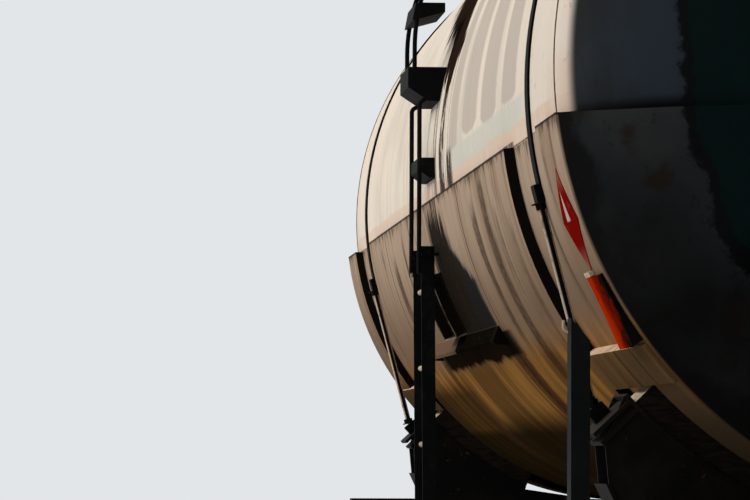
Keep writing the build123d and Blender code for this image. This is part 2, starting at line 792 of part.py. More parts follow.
def side_ladder():
    """Ladder of the -Y side."""
    inner_y = -(ladder_outer_y - stringer_depth)
    with BuildPart() as ladder:
        for x_side in (-1, 1):
            stringer_x = x_side * ladder_half_width - stringer_thickness / 2
            with BuildSketch(Plane.YZ.offset(stringer_x)):
                with BuildLine():
                    Polyline(
                        (-ladder_outer_y, ladder_top_z),
                        (inner_y, ladder_top_z),
                        (inner_y + ladder_lean, ladder_bottom_z),
                        (-ladder_outer_y + ladder_lean, ladder_bottom_z),
                        close=True,
                    )
                make_face()
            extrude(amount=stringer_thickness)
            bracket_top_z = ladder_top_z - ladder_bracket_drop
            bracket_inner_y = -shell_y(bracket_top_z, jacket_radius) - seat
            add(
                plain_box(
                    (stringer_x - ladder_bracket_lap, stringer_x + stringer_thickness + ladder_bracket_lap),
                    (-ladder_outer_y, bracket_inner_y),
                    (bracket_top_z - ladder_bracket_plate, bracket_top_z),
                )
            )
            add(
                plain_box(
                    (stringer_x - outrigger_lap, stringer_x + stringer_thickness + outrigger_lap),
                    (-ladder_outer_y + stringer_depth / 2, -sill_outer_y - seat),
                    (rail_z + outrigger_height, rail_z + outrigger_height + outrigger_depth),
                )
            )
            bar_x = x_side * ladder_half_width
            bend_top_z = tank_axis_z + handrail_bend_rise
            shell_end_y = -shell_y(bend_top_z, tank_radius) - handrail_radius - seat
            add(
                bent_bar(
                    [
                        (bar_x, -handrail_y, ladder_top_z - handrail_lap),
                        (bar_x, -handrail_y, bend_top_z - handrail_end_drop),
                        (bar_x, shell_end_y, bend_top_z + handrail_end_rise),
                    ],
                    [handrail_bend_radius],
                    handrail_radius,
                )
            )
            upper_points = [(bar_x, -y, tank_axis_z + rise) for y, rise in upper_rail_run]
            add(bent_bar(upper_points, bend_radii(upper_points), handrail_radius))
        for index in range(rung_count):
            rung_z = ladder_top_z - first_rung_drop - index * rung_pitch
            lean = ladder_lean * (ladder_top_z - rung_z) / (ladder_top_z - ladder_bottom_z)
            rung_y = -(ladder_outer_y - stringer_depth / 2 - lean)
            rung_ends = [(x_side * ladder_half_width, rung_y, rung_z) for x_side in (-1, 1)]
            add(round_bar(*rung_ends, rung_radius))
        for rise, reach, depth in shell_treads:
            top_z = tank_axis_z + rise
            low_z = top_z - depth
            low_y = -shell_y(low_z, tank_radius) - seat
            top_y = -shell_y(top_z, tank_radius) - seat
            middle_z = (low_z + top_z) / 2
            wall_y = min(low_y, top_y)
            if low_z < tank_axis_z < top_z:
                wall_y = -tank_radius - seat
            with BuildSketch(Plane.YZ.offset(-tread_length / 2)):
                with BuildLine():
                    Polyline(
                        (top_y, top_z),
                        (wall_y - reach, top_z),
                        (wall_y - reach, top_z - 0.6 * depth),
                        (low_y - 0.35 * reach, low_z),
                        (low_y, low_z),
                    )
                    ThreePointArc(
                        (low_y, low_z), (-shell_y(middle_z, tank_radius) - seat, middle_z), (top_y, top_z)
                    )
                make_face()
            extrude(amount=tread_length)
        for rise in rail_tread_rises:
            outer_y = -rail_y(rise) - 2 * handrail_radius
            top_z = tank_axis_z + rise
            with BuildSketch(Plane.YZ.offset(-tread_length / 2)):
                with BuildLine():
                    Polyline(
                        (outer_y + rail_tread_reach, top_z),
                        (outer_y, top_z),
                        (outer_y - rail_tread_flare, top_z - rail_tread_depth),
                        (outer_y + rail_tread_reach, top_z - rail_tread_depth / 2),
                        close=True,
                    )
                make_face()
            extrude(amount=tread_length)
    return ladder.part


right_ladder = side_ladder()
export_node(right_ladder, "ladder_right")
export_node(right_ladder.mirror(Plane.XZ), "ladder_left")

# Top platform: a deck round the hatch on plate brackets, with toe boards
deck_opening_play = 60.0
deck_opening_radius = hatch_radius + hatch_flange + deck_opening_play
bracket_x = 480.0
bracket_plate = 10.0
bracket_setback = 20.0
bracket_foot_reach = 60.0
bracket_foot_rise = 60.0
bracket_foot_toe = 10.0
ladder_gap_play = 40.0
ladder_gap = ladder_half_width + ladder_gap_play
with BuildPart() as platform_deck:
    with BuildSketch(Plane.XY.offset(deck_z - deck_thickness)):
        Rectangle(2 * platform_half_length, 2 * platform_half_width)
        Circle(deck_opening_radius, mode=Mode.SUBTRACT)
    extrude(amount=deck_thickness)
    board_top_z = deck_z + toe_board_height
    for end_side in (-1, 1):
        board_x = end_side * (platform_half_length - toe_board_thickness / 2)
        add(
            plain_box(
                (board_x - toe_board_thickness / 2, board_x + toe_board_thickness / 2),
                (-platform_half_width, platform_half_width),
                (deck_z - deck_thickness, board_top_z),
            )
        )
        for side in (-1, 1):
            board_y = side * (platform_half_width - toe_board_thickness / 2)
            edges = sorted((end_side * ladder_gap, end_side * platform_half_length))
            add(
                plain_box(
                    (edges[0], edges[1]),
                    (board_y - toe_board_thickness / 2, board_y + toe_board_thickness / 2),
                    (deck_z - deck_thickness, board_top_z),
                )
            )
        with BuildSketch(Plane.YZ.offset(end_side * bracket_x - bracket_plate / 2)):
            with BuildLine():
                bracket_y = platform_half_width - bracket_setback
                foot_y = bracket_y + bracket_foot_reach
                foot_z = tank_axis_z + sqrt((tank_radius + seat) ** 2 - foot_y**2)
                Polyline(
                    (-foot_y, foot_z),
                    (-foot_y - bracket_foot_toe, foot_z + bracket_foot_rise),
                    (-bracket_y, deck_z - deck_thickness),
                    (bracket_y, deck_z - deck_thickness),
                    (foot_y + bracket_foot_toe, foot_z + bracket_foot_rise),
                    (foot_y, foot_z),
                )
                ThreePointArc((foot_y, foot_z), (0, tank_top_z + seat), (-foot_y, foot_z))
            make_face()
        extrude(amount=bracket_plate)
export_node(platform_deck.part, "platform_deck")


# Platform railings: flat posts on the toe boards and a round top rail
railing_bend_radius = 60.0
gate_play = 60.0
post_plate = 10.0
post_lap = 80.0


def platform_railing():
    """Railing of the platform's front half."""
    post_y = platform_half_width + rail_radius
    post_near_y = platform_half_width + seat
    corner_x = platform_half_length + rail_radius
    gate_x = ladder_half_width + gate_play
    with BuildPart() as railing:
        for side in (-1, 1):
            add(
                bent_bar(
                    [
                        (gate_x, side * post_y, rail_bar_z),
                        (corner_x, side * post_y, rail_bar_z),
                        (corner_x, 0, rail_bar_z),
                    ],
                    [railing_bend_radius],
                    rail_radius,
                )
            )
            for post_x in (gate_x + post_width / 2, corner_x - rail_radius - post_width):
                add(
                    plain_box(
                        (post_x - post_width / 2, post_x + post_width / 2),
                        (side * post_near_y, side * (post_near_y + post_plate)),
                        (deck_z - post_lap, rail_bar_z),
                    )
                )
        add(
            plain_box(
                (platform_half_length + seat, platform_half_length + seat + post_plate),
                (-post_width / 2, post_width / 2),
                (deck_z - deck_thickness, rail_bar_z),
            )
        )
    return railing.part


with BuildPart() as railings:
    add(platform_railing())
    mirror(about=Plane.YZ)
export_node(railings.part, "platform_railing")

# Hatch neck: a short cylinder with a flange, hinge ears and swing bolts
lid_seat_z = hatch_z + seat
hinge_z = hatch_z + lid_plate / 2
ear_y = 70.0
ear_width = 16.0
hinge_pin_radius = 11.0
ear_half = 24.0
ear_toe_drop = 20.0
ear_root_drop = 60.0
ear_knee = 10.0
neck_sink = 60.0
neck_saddle_half = hatch_radius + 10.0
neck_saddle_z = tank_axis_z + sqrt((tank_radius + seat) ** 2 - neck_saddle_half**2)
bolt_circle_inset = 16.0
bolt_circle_radius = hatch_radius + hatch_flange - bolt_circle_inset
bolt_start_angle = 180 / lid_bolts
bolt_height = 46.0
bolt_slot_depth = 14.0
bolt_slot_play = 8.0
lid_inset = 4.0
lid_radius = hatch_radius + hatch_flange - lid_inset
dish_rim = 20.0
dish_rim_rise = 6.0
arm_root = 60.0
arm_tip = 22.0
with BuildPart() as hatch_neck:
    with BuildSketch(Plane.XY.offset(tank_top_z - neck_sink)):
        Circle(hatch_radius)
        Circle(hatch_radius - hatch_wall, mode=Mode.SUBTRACT)
    extrude(amount=hatch_z - tank_top_z + neck_sink)
    with BuildSketch(Plane.XY.offset(hatch_z - hatch_flange_thickness)):
        Circle(hatch_radius + hatch_flange)
        Circle(hatch_radius - hatch_wall, mode=Mode.SUBTRACT)
    extrude(amount=hatch_flange_thickness)
    with BuildSketch(Plane.XY.offset(hatch_z)):
        with PolarLocations(bolt_circle_radius, lid_bolts, start_angle=bolt_start_angle):
            Circle(lid_bolt_radius)
    extrude(amount=bolt_height)
    for side in (-1, 1):
        with BuildSketch(Plane.XZ.offset(-side * ear_y - ear_width / 2)):
            with BuildLine():
                Polyline(
                    (-hatch_radius, hatch_z - ear_root_drop),
                    (-lid_hinge_reach - ear_knee, hinge_z - ear_toe_drop),
                    (-lid_hinge_reach - ear_half, hinge_z),
                    (-lid_hinge_reach - ear_half, hinge_z + ear_half),
                    (-lid_hinge_reach + ear_half, hinge_z + ear_half),
                    (-lid_hinge_reach + ear_half, hatch_z - hatch_flange_thickness / 2),
                    (-hatch_radius, hatch_z - hatch_flange_thickness / 2),
                    close=True,
                )
            make_face()
        extrude(amount=ear_width)
    with BuildSketch(Plane.XZ.offset(-ear_y - ear_width / 2)):
        with Locations((-lid_hinge_reach, hinge_z)):
            Circle(hinge_pin_radius)
    extrude(amount=2 * ear_y + ear_width)
    with BuildSketch(Plane.YZ.offset(-hatch_radius - 1.0)):
        with BuildLine():
            ThreePointArc(
                (-neck_saddle_half, neck_saddle_z), (0, tank_top_z + seat), (neck_saddle_half, neck_saddle_z)
            )
            Polyline(
                (-neck_saddle_half, neck_saddle_z),
                (-neck_saddle_half, tank_axis_z + tank_radius / 2),
                (neck_saddle_half, tank_axis_z + tank_radius / 2),
                (neck_saddle_half, neck_saddle_z),
            )
        make_face()
    extrude(amount=2 * hatch_radius + 2.0, mode=Mode.SUBTRACT)
export_node(hatch_neck.part, "hatch_neck")

# Hatch lid: a dished cover with open slots for the swing bolts, a hinge arm and a handle
with BuildPart() as hatch_lid:
    with BuildSketch(Plane.XZ):
        with BuildLine():
            dish = ThreePointArc(
                (0, lid_seat_z + lid_rise),
                (hatch_radius * 0.55, lid_seat_z + lid_rise * 0.78),
                (hatch_radius - dish_rim, lid_seat_z + lid_plate + dish_rim_rise),
            )
            Polyline(
                dish @ 1,
                (lid_radius, lid_seat_z + lid_plate),
                (lid_radius, lid_seat_z),
                (0, lid_seat_z),
                dish @ 0,
            )
        make_face()
    revolve(axis=Axis.Z)
    with BuildSketch(Plane.XY.offset(lid_seat_z)):
        with PolarLocations(bolt_circle_radius, lid_bolts, start_angle=bolt_start_angle):
            with Locations((-lid_bolt_radius - bolt_slot_depth, 0)):
                Rectangle(
                    2 * hatch_flange,
                    2 * (lid_bolt_radius + bolt_slot_play),
                    align=(Align.MIN, Align.CENTER),
                )
    extrude(amount=lid_rise, mode=Mode.SUBTRACT)
    arm_y = ear_y - ear_width / 2 - pin_play
    with BuildSketch(Plane.XZ.offset(-arm_y)):
        with BuildLine():
            Polyline(
                (-hatch_radius + arm_root, lid_seat_z + lid_plate / 2),
                (-hatch_radius - hatch_flange - lid_plate / 2, lid_seat_z + pin_play),
                (-lid_hinge_reach + lid_plate, hinge_z - ear_toe_drop),
                (-lid_hinge_reach - arm_tip, hinge_z - ear_toe_drop / 2),
                (-lid_hinge_reach - arm_tip, hinge_z + ear_toe_drop),
                (-hatch_radius + arm_root, lid_seat_z + lid_rise * 0.45),
                close=True,
            )
        make_face()
        with Locations((-lid_hinge_reach, hinge_z)):
            Circle(hinge_pin_radius + 2 * pin_play, mode=Mode.SUBTRACT)
    extrude(amount=2 * arm_y)
export_node(hatch_lid.part, "hatch_lid")

# Pressure and vacuum valve on the tank's top, beside the platform
valve_x = 1050.0
valve_radius = 75.0
valve_profile = (
    # share of the valve's radius, rise over the tank
    (0.0, seat),
    (1.5, seat),
    (1.5, 24.0),
    (0.8, 24.0),
    (0.8, 95.0),
    (1.25, 110.0),
    (1.0, 160.0),
    (0.0, 185.0),
)
with BuildPart() as safety_valve:
    with BuildSketch(Plane.XZ):
        with BuildLine():
            Polyline(
                *((valve_x + share * valve_radius, tank_top_z + rise) for share, rise in valve_profile),
                close=True,
            )
        make_face()
    revolve(axis=Axis((valve_x, 0, 0), (0, 0, 1)))
export_node(safety_valve.part, "safety_valve")

# Bottom outlet: a barrel through the center sill with a flange, a reducer and a screwed cap
outlet_radius = 100.0
outlet_spigot_radius = 60.0
outlet_low_height = 690.0
outlet_collar = 20.0
outlet_flange = 25.0
outlet_cap_wall = 12.0
outlet_cap_depth = 90.0
outlet_cap_bevel = 5.0
with BuildPart() as bottom_outlet:
    with BuildSketch(Plane.XZ):
        with BuildLine():
            outlet_top_z = tank_axis_z - jacket_radius - seat
            outlet_low_z = rail_z + outlet_low_height
            Polyline(
                (0, outlet_top_z),
                (outlet_radius + outlet_collar, outlet_top_z),
                (outlet_radius + outlet_collar, sill_top_z - sill_plate - outlet_collar),
                (outlet_radius, sill_top_z - sill_plate - outlet_collar),
                (outlet_radius, sill_bottom_z + outlet_collar),
                (outlet_radius + outlet_flange, sill_bottom_z + outlet_collar),
                (outlet_radius + outlet_flange, sill_bottom_z - outlet_flange),
                (outlet_spigot_radius + outlet_cap_wall, outlet_low_z + outlet_cap_depth),
                (outlet_spigot_radius, outlet_low_z + outlet_cap_depth - outlet_cap_bevel),
                (outlet_spigot_radius, outlet_low_z),
                (0, outlet_low_z),
                close=True,
            )
        make_face()
    revolve(axis=Axis.Z)
export_node(bottom_outlet.part, "bottom_outlet")

# Steam inlet and condensate drains under the jacket, each side of the outlet
steam_pipe_radius = 30.0
steam_x = 420.0
steam_y = 420.0
steam_pipe_drop = 120.0
steam_flange = 26.0
steam_flange_depth = 40.0
with BuildPart() as steam_pipes:
    for x_side, side in ((1, -1), (-1, 1)):
        pipe_x = x_side * steam_x
        pipe_y = side * steam_y
        pipe_top_z = tank_axis_z - sqrt(jacket_radius**2 - (steam_y - steam_pipe_radius) ** 2) - seat
        pipe_low_z = sill_bottom_z - steam_pipe_drop
        add(round_bar((pipe_x, pipe_y, pipe_top_z), (pipe_x, pipe_y, pipe_low_z), steam_pipe_radius))
        add(
            round_bar(
                (pipe_x, pipe_y, pipe_low_z - 0.75 * steam_flange_depth),
                (pipe_x, pipe_y, pipe_low_z + 0.25 * steam_flange_depth),
                steam_pipe_radius + steam_flange,
            )
        )
export_node(steam_pipes.part, "steam_pipes")

# Automatic coupler: a head with a large and a small tooth, a shank and an eye for the draft pin
coupler_face_x = coupling_length / 2
head_height = 300.0
head_corner_radius = 16.0
head_chamfer = 12.0
head_outline = (
    # distance from the coupling plane, distance to the left of the middle
    (-360.0, -95.0),
    (-300.0, -190.0),
    (-110.0, -215.0),
    (20.0, -205.0),
    (40.0, -140.0),
    (-60.0, -95.0),
    (-130.0, -60.0),
    (-150.0, 0.0),
    (-110.0, 60.0),
    (-20.0, 75.0),
    (105.0, 110.0),
    (130.0, 160.0),
    (60.0, 225.0),
    (-120.0, 235.0),
    (-300.0, 190.0),
    (-360.0, 95.0),
)


def automatic_coupler():
    """Front coupler."""
    with BuildPart() as coupler:
        with BuildSketch(Plane.XY.offset(coupler_z - head_height / 2)) as claw:
            with BuildLine():
                Polyline(*((coupler_face_x + x, y) for x, y in head_outline), close=True)
            make_face()
            fillet(claw.vertices(), head_corner_radius)
        extrude(amount=head_height)
        for level in (0, -1):
            chamfer(coupler.faces().sort_by(Axis.Z)[level].edges(), head_chamfer)
        add(
            plain_box(
                (coupler_pivot_x, coupler_face_x - shank_root),
                (-shank_width / 2, shank_width / 2),
                (coupler_z - shank_depth / 2, coupler_z + shank_depth / 2),
            )
        )
        with BuildSketch(Plane.XY.offset(coupler_z - shank_depth / 2)):
            with Locations((coupler_pivot_x, 0)):
                Circle(coupler_eye_radius)
        extrude(amount=shank_depth)
        with BuildSketch(Plane.XY.offset(coupler_z - shank_depth / 2)):
            with Locations((coupler_pivot_x, 0)):
                Circle(draft_pin_radius + draft_pin_play)
        extrude(amount=shank_depth, mode=Mode.SUBTRACT)
    return coupler.part


front_coupler = automatic_coupler()
export_node(front_coupler, "coupler_front")
export_node(front_coupler.rotate(Axis.Z, 180), "coupler_rear")


# Draft gear: a yoke between the sill's webs whose fork holds the coupler's pin
def draft_gear():
    """Front yoke with its pin."""
    yoke_half = opening_half_height - yoke_play
    yoke_start = coupler_pivot_x - yoke_length
    fork_gap = coupler_eye_radius + running_gap
    with BuildPart() as yoke:
        add(
            plain_box(
                (yoke_start, coupler_pivot_x - fork_gap),
                (-sill_inner_y + seat, sill_inner_y - seat),
                (coupler_z - yoke_half, coupler_z + yoke_half),
            )
        )
        for level in (-1, 1):
            inner_z = coupler_z + level * (shank_depth / 2 + pin_play)
            outer_z = inner_z + level * yoke_strap
            add(
                plain_box(
                    (coupler_pivot_x - fork_gap - fork_root, coupler_pivot_x + fork_reach),
                    (-fork_reach, fork_reach),
                    (min(inner_z, outer_z), max(inner_z, outer_z)),
                )
            )
        with BuildSketch(Plane.XY.offset(coupler_z - shank_depth / 2 - draft_pin_overrun)):
            with Locations((coupler_pivot_x, 0)):
                Circle(draft_pin_radius)
        extrude(amount=shank_depth + 2 * draft_pin_overrun)
    return yoke.part


with BuildPart() as draft_gears:
    add(draft_gear())
    mirror(about=Plane.YZ)
export_node(draft_gears.part, "draft_gear")

# Corner posts with foot steps, at two corners that face each other across the car
post_top_height = 1910.0
post_low_height = 430.0
post_depth = 60.0
post_x_width = 100.0
post_wall = 8.0
post_shoulder = 70.0
step_depth = 260.0
step_length = 340.0
step_rise = 340.0
with BuildPart() as corner_posts:
    for turn in (1, -1):
        outer_x = turn * end_beam_x
        inner_x = turn * (end_beam_x - post_x_width)
        near_y = -turn * (end_beam_width / 2 + seat)
        far_y = -turn * (end_beam_width / 2 + seat + post_depth)
        top_z = rail_z + post_top_height
        low_z = rail_z + post_low_height
        with BuildSketch(Plane.XY.offset(low_z)):
            with BuildLine():
                Polyline(
                    (outer_x, near_y),
                    (outer_x, far_y),
                    (inner_x, far_y),
                    (inner_x, near_y),
                    (inner_x + turn * post_wall, near_y),
                    (inner_x + turn * post_wall, far_y + turn * post_wall),
                    (outer_x - turn * post_wall, far_y + turn * post_wall),
                    (outer_x - turn * post_wall, near_y),
                    close=True,
                )
            make_face()
        extrude(amount=top_z - low_z)
        with BuildSketch(Plane.YZ.offset(min(outer_x, inner_x))):
            with BuildLine():
                Polyline((near_y, top_z), (near_y, top_z - post_shoulder), (far_y, top_z), close=True)
            make_face()
        extrude(amount=post_x_width, mode=Mode.SUBTRACT)
        for step_z in (low_z, low_z + step_rise):
            add(
                plain_box(
                    sorted((outer_x, outer_x - turn * step_length)),
                    sorted((near_y, near_y + turn * step_depth)),
                    (step_z, step_z + post_wall),
                )
            )
export_node(corner_posts.part, "corner_posts")

# Air brake: a reservoir and a cylinder hung from the center sill, and the brake pipe to both ends
reservoir_radius = 150.0
reservoir_length = 900.0
cylinder_radius = 178.0
cylinder_length = 460.0
brake_setback = 1750.0
brake_x = brake_setback - saddle_x
brake_y = 520.0
pipe_radius = 21.0
brake_rise = 60.0
brake_hanger_width = 50.0
brake_hanger_depth = 30.0
pipe_side_play = 40.0
pipe_y = sill_outer_y + sill_flange / 2 + pipe_side_play
pipe_reach = 150.0
cock_reach = 40.0
cock_length = 70.0
cock_collar = 16.0
pipe_drop = 60.0
pipe_hanger_shares = (0.167, 0.426, 0.87)
pipe_hanger_width = 30.0
pipe_hanger_plate = 16.0
with BuildPart() as brake_gear:
    body_z = sill_bottom_z + brake_rise
    vessels = (
        # side, length, radius
        (1, reservoir_length, reservoir_radius),
        (-1, cylinder_length, cylinder_radius),
    )
    for side, length, radius in vessels:
        vessel_y = side * brake_y
        add(round_bar((brake_x, vessel_y, body_z), (brake_x + length, vessel_y, body_z), radius))
        for share in (0.2, 0.8):
            hanger_x = brake_x + share * length
            add(
                plain_box(
                    (hanger_x - brake_hanger_width / 2, hanger_x + brake_hanger_width / 2),
                    sorted((side * (sill_outer_y + seat), side * brake_y)),
                    (sill_bottom_z + sill_plate + seat, sill_bottom_z + sill_plate + brake_hanger_depth),
                )
            )
export_node(brake_gear.part, "brake_gear")

with BuildPart() as brake_pipe:
    pipe_z = sill_bottom_z - pipe_drop
    pipe_end_x = end_beam_x + pipe_reach
    add(round_bar((-pipe_end_x, -pipe_y, pipe_z), (pipe_end_x, -pipe_y, pipe_z), pipe_radius))
    for end_side in (-1, 1):
        for hanger_share in pipe_hanger_shares:
            hanger_x = end_side * hanger_share * end_beam_x
            add(
                plain_box(
                    (hanger_x - pipe_hanger_width / 2, hanger_x + pipe_hanger_width / 2),
                    (-pipe_y - pipe_hanger_plate / 2, -pipe_y + pipe_hanger_plate / 2),
                    (pipe_z, sill_bottom_z - seat),
                )
            )
        cock_x = end_side * (end_beam_x + cock_reach)
        add(
            round_bar(
                (cock_x - cock_length / 2, -pipe_y, pipe_z),
                (cock_x + cock_length / 2, -pipe_y, pipe_z),
                pipe_radius + cock_collar,
            )
        )
export_node(brake_pipe.part, "brake_pipe")


# Three-piece bogie: two side frames, a bolster on spring nests, axle boxes and brake beams
def side_frame_face():
    """Outline of a side frame in (x, height), with its windows, before the pedestal openings' shoes."""
    jaw_inner = half_wheelbase - box_half_width - pedestal_play
    jaw_outer = half_wheelbase + box_half_width + pedestal_play
    jaw_top = box_top_height + seat
    outline = (
        (0, frame_top_height),
        (frame_crown_half, frame_top_height),
        (frame_slope_end, frame_end_height),
        (jaw_outer + frame_horn - frame_horn_drop - frame_end_bevel, frame_end_height),
        (jaw_outer + frame_horn, frame_end_height - frame_horn_drop),
        (jaw_outer + frame_horn, frame_horn_low_height),
        (jaw_outer + pedestal_leg, pedestal_foot_height),
        (jaw_outer, pedestal_foot_height),
        (jaw_outer, jaw_top),
        (jaw_inner, jaw_top),
        (jaw_inner, jaw_foot_height),
        (jaw_inner - jaw_leg, jaw_foot_height),
        (frame_keel_half, frame_bottom_height + frame_keel_rise),
        (0, frame_bottom_height),
    )
    side_window = (
        # distance from the bogie's middle, height
        (window_half_width + side_window_post, 620.0),
        (window_half_width + side_window_post, 310.0),
        (jaw_inner - side_window_leg, 470.0),
        (jaw_inner - side_window_leg, 600.0),
    )
    with BuildSketch() as frame:
        with BuildLine():
            right = Polyline(*outline)
            mirror(right, about=Plane.YZ)
        make_face()
        rounded = [
            corner
            for corner in frame.vertices()
            if abs(corner.X) > 1.0 and abs(corner.Y - jaw_top) > 1.0
        ]
        fillet(rounded, frame_corner_radius)
        with BuildSketch(mode=Mode.SUBTRACT) as window:
            with Locations((0, (window_top_height + spring_seat_height) / 2)):
                Rectangle(2 * window_half_width, window_top_height - spring_seat_height)
            fillet(window.vertices().group_by(Axis.Y)[-1], window_corner_radius)
        for end_side in (-1, 1):
            with BuildSketch(mode=Mode.SUBTRACT) as side_opening:
                with BuildLine():
                    Polyline(*((end_side * x, z) for x, z in side_window), close=True)
                make_face()
                fillet(side_opening.vertices(), window_corner_radius)
    return frame.sketch


def side_frames(x_centre):
    """Both cast side frames of a bogie."""
    face = side_frame_face()
    rim = face - offset(face, amount=-frame_rim, kind=Kind.INTERSECTION)
    with BuildPart() as frames:
        for side in (-1, 1):
            middle_y = side * journal_y
            for section, width in ((face, frame_web), (rim, frame_width)):
                origin = (x_centre, middle_y + width / 2, rail_z)
                with BuildSketch(Plane(origin=origin, x_dir=(1, 0, 0), z_dir=(0, -1, 0))):
                    add(section)
                extrude(amount=width)
            add(
                plain_box(
                    (x_centre - window_half_width, x_centre + window_half_width),
                    (middle_y - spring_seat_width / 2, middle_y + spring_seat_width / 2),
                    (
                        rail_z + spring_seat_height - spring_seat_thickness,
                        rail_z + spring_seat_height,
                    ),
                )
            )
    return frames.part


def bogie_bolster(x_centre):
    """Cast cross member with the center bowl and the side bearings."""
    end_low = spring_seat_height + spring_height
    end_top = end_low + bolster_end_depth
    half_length = bolster_length / 2
    bowl_radius = center_plate_radius + pivot_play
    outline = (
        (0, center_plate_height - bolster_crown_drop),
        (bolster_crown_half, center_plate_height - bolster_crown_drop),
        (bolster_shoulder_y, center_plate_height - bolster_shoulder_drop),
        (journal_y - bolster_neck_setback, end_top),
        (half_length, end_top),
        (half_length, end_low),
        (journal_y - bolster_foot_setback, end_low),
        (bolster_belly_y, end_low - bolster_belly_drop),
        (0, end_low - bolster_belly_drop),
    )
    with BuildPart() as bolster:
        with BuildSketch(Plane.YZ.offset(x_centre - bolster_half_width)) as casting:
            with BuildLine():
                right = Polyline(*((y, rail_z + z) for y, z in outline))
                mirror(right, about=Plane.YZ)
            make_face()
            bends = [corner for corner in casting.vertices() if 1.0 < abs(corner.X) < half_length - 1.0]
            fillet(bends, bolster_bend_radius)
        extrude(amount=2 * bolster_half_width)
        with BuildSketch(Plane.XY.offset(center_plate_z - bowl_depth)):
            with Locations((x_centre, 0)):
                Circle(bowl_radius + bowl_rim_thickness)
        extrude(amount=bowl_depth + bowl_rim_height)
        with BuildSketch(Plane.XY.offset(center_plate_z)):
            with Locations((x_centre, 0)):
                Circle(bowl_radius)
        extrude(amount=bowl_rim_height, mode=Mode.SUBTRACT)
        bearing_top_z = sill_bottom_z - body_bolster_plate - side_bearing_depth - side_bearing_gap
        for side in (-1, 1):
            pad_y = side * side_bearing_y
            add(
                plain_box(
                    (x_centre - bearing_pad_length / 2, x_centre + bearing_pad_length / 2),
                    (pad_y - bearing_pad_width / 2, pad_y + bearing_pad_width / 2),
                    (rail_z + end_top - bearing_pad_root, bearing_top_z),
                )
            )
    return bolster.part


def spring_nests(x_centre):
    """Seven coil springs under each end of the bolster, as closed cylinders."""
    row_y = spring_pitch * sqrt(3) / 2
    with BuildPart() as springs:
        for side in (-1, 1):
            middle_y = side * journal_y
            places = [(x_centre + k * spring_pitch, middle_y) for k in (-1, 0, 1)]
            places += [(x_centre + k * spring_pitch, middle_y + row_y) for k in (-0.5, 0.5)]
            places += [(x_centre + k * spring_pitch, middle_y - row_y) for k in (-0.5, 0.5)]
            with BuildSketch(Plane.XY.offset(rail_z + spring_seat_height)):
                with Locations(*places):
                    Circle(spring_diameter / 2)
            extrude(amount=spring_height)
    return springs.part


def axle_boxes(x_centre):
    """Four roller bearing boxes, each with a round lower half and a front cover."""
    cover_depth = 34.0
    box_inner_y = journal_y - box_length / 2
    box_outer_y = journal_y + box_length / 2
    bore_depth = axle_length / 2 - box_inner_y + pivot_play
    with BuildPart() as boxes:
        for end_side in (-1, 1):
            for side in (-1, 1):
                box_x = x_centre + end_side * half_wheelbase
                start_y = box_inner_y if side > 0 else -box_outer_y
                plane = Plane(origin=(box_x, start_y + box_length, axle_z), x_dir=(1, 0, 0), z_dir=(0, -1, 0))
                with BuildSketch(plane):
                    Circle(box_radius)
                    with Locations((0, (rail_z + box_top_height - axle_z) / 2)):
                        Rectangle(2 * box_half_width, rail_z + box_top_height - axle_z)
                extrude(amount=box_length)
                face_y = side * box_outer_y
                cover_plane = Plane(origin=(box_x, face_y, axle_z), x_dir=(1, 0, 0), z_dir=(0, side, 0))
                with BuildSketch(cover_plane):
                    Circle(box_radius - box_cover_inset)
                extrude(amount=cover_depth)
                bore_start = (box_x, side * box_inner_y, axle_z)
                bore_plane = Plane(origin=bore_start, x_dir=(1, 0, 0), z_dir=(0, side, 0))
                with BuildSketch(bore_plane):
                    Circle(journal_radius + pin_play)
                extrude(amount=bore_depth, mode=Mode.SUBTRACT)
    return boxes.part


def brake_beams(x_centre):
    """Two brake beams, each with a shoe for either wheel and hangers from the side frames."""
    shoe_inner = tread_radius + shoe_gap
    shoe_outer = shoe_inner + shoe_thickness
    shoe_y = wheel_inner_y + flange_thickness + shoe_side_play + shoe_width / 2
    hanger_x = half_wheelbase - shoe_outer - brake_hanger_play
    beam_z = axle_z - brake_beam_drop
    hanger_z = rail_z + brake_hanger_height
    with BuildPart() as beams:
        for end_side in (-1, 1):
            wheel_x = x_centre + end_side * half_wheelbase
            beam_x = x_centre + end_side * (hanger_x - brake_beam_setback)
            add(
                plain_box(
                    (beam_x - brake_beam_size / 2, beam_x + brake_beam_size / 2),
                    (-shoe_y, shoe_y),
                    (beam_z - brake_beam_size / 2, beam_z + brake_beam_size / 2),
                )
            )
            for side in (-1, 1):
                low_y = side * shoe_y - shoe_width / 2
                plane = Plane(origin=(wheel_x, low_y + shoe_width, axle_z), x_dir=(1, 0, 0), z_dir=(0, -1, 0))
                middle_angle = 180 + shoe_drop_angle if end_side > 0 else -shoe_drop_angle
                start_angle = middle_angle - shoe_half_angle
                with BuildSketch(plane):
                    with BuildLine():
                        outer = CenterArc((0, 0), shoe_outer, start_angle, 2 * shoe_half_angle)
                        inner = CenterArc((0, 0), shoe_inner, start_angle, 2 * shoe_half_angle)
                        Line(outer @ 0, inner @ 0)
                        Line(outer @ 1, inner @ 1)
                    make_face()
                extrude(amount=shoe_width)
                bar_x = x_centre + end_side * hanger_x
                add(
                    plain_box(
                        (bar_x - brake_hanger_bar / 2, bar_x + brake_hanger_bar / 2),
                        (side * shoe_y - brake_hanger_bar / 2, side * shoe_y + brake_hanger_bar / 2),
                        (beam_z, hanger_z),
                    )
                )
                pin_end = side * (journal_y - frame_web / 2 - seat)
                pin_ends = ((bar_x, side * shoe_y, hanger_z), (bar_x, pin_end, hanger_z))
                add(round_bar(*pin_ends, brake_hanger_pin_radius))
    return beams.part


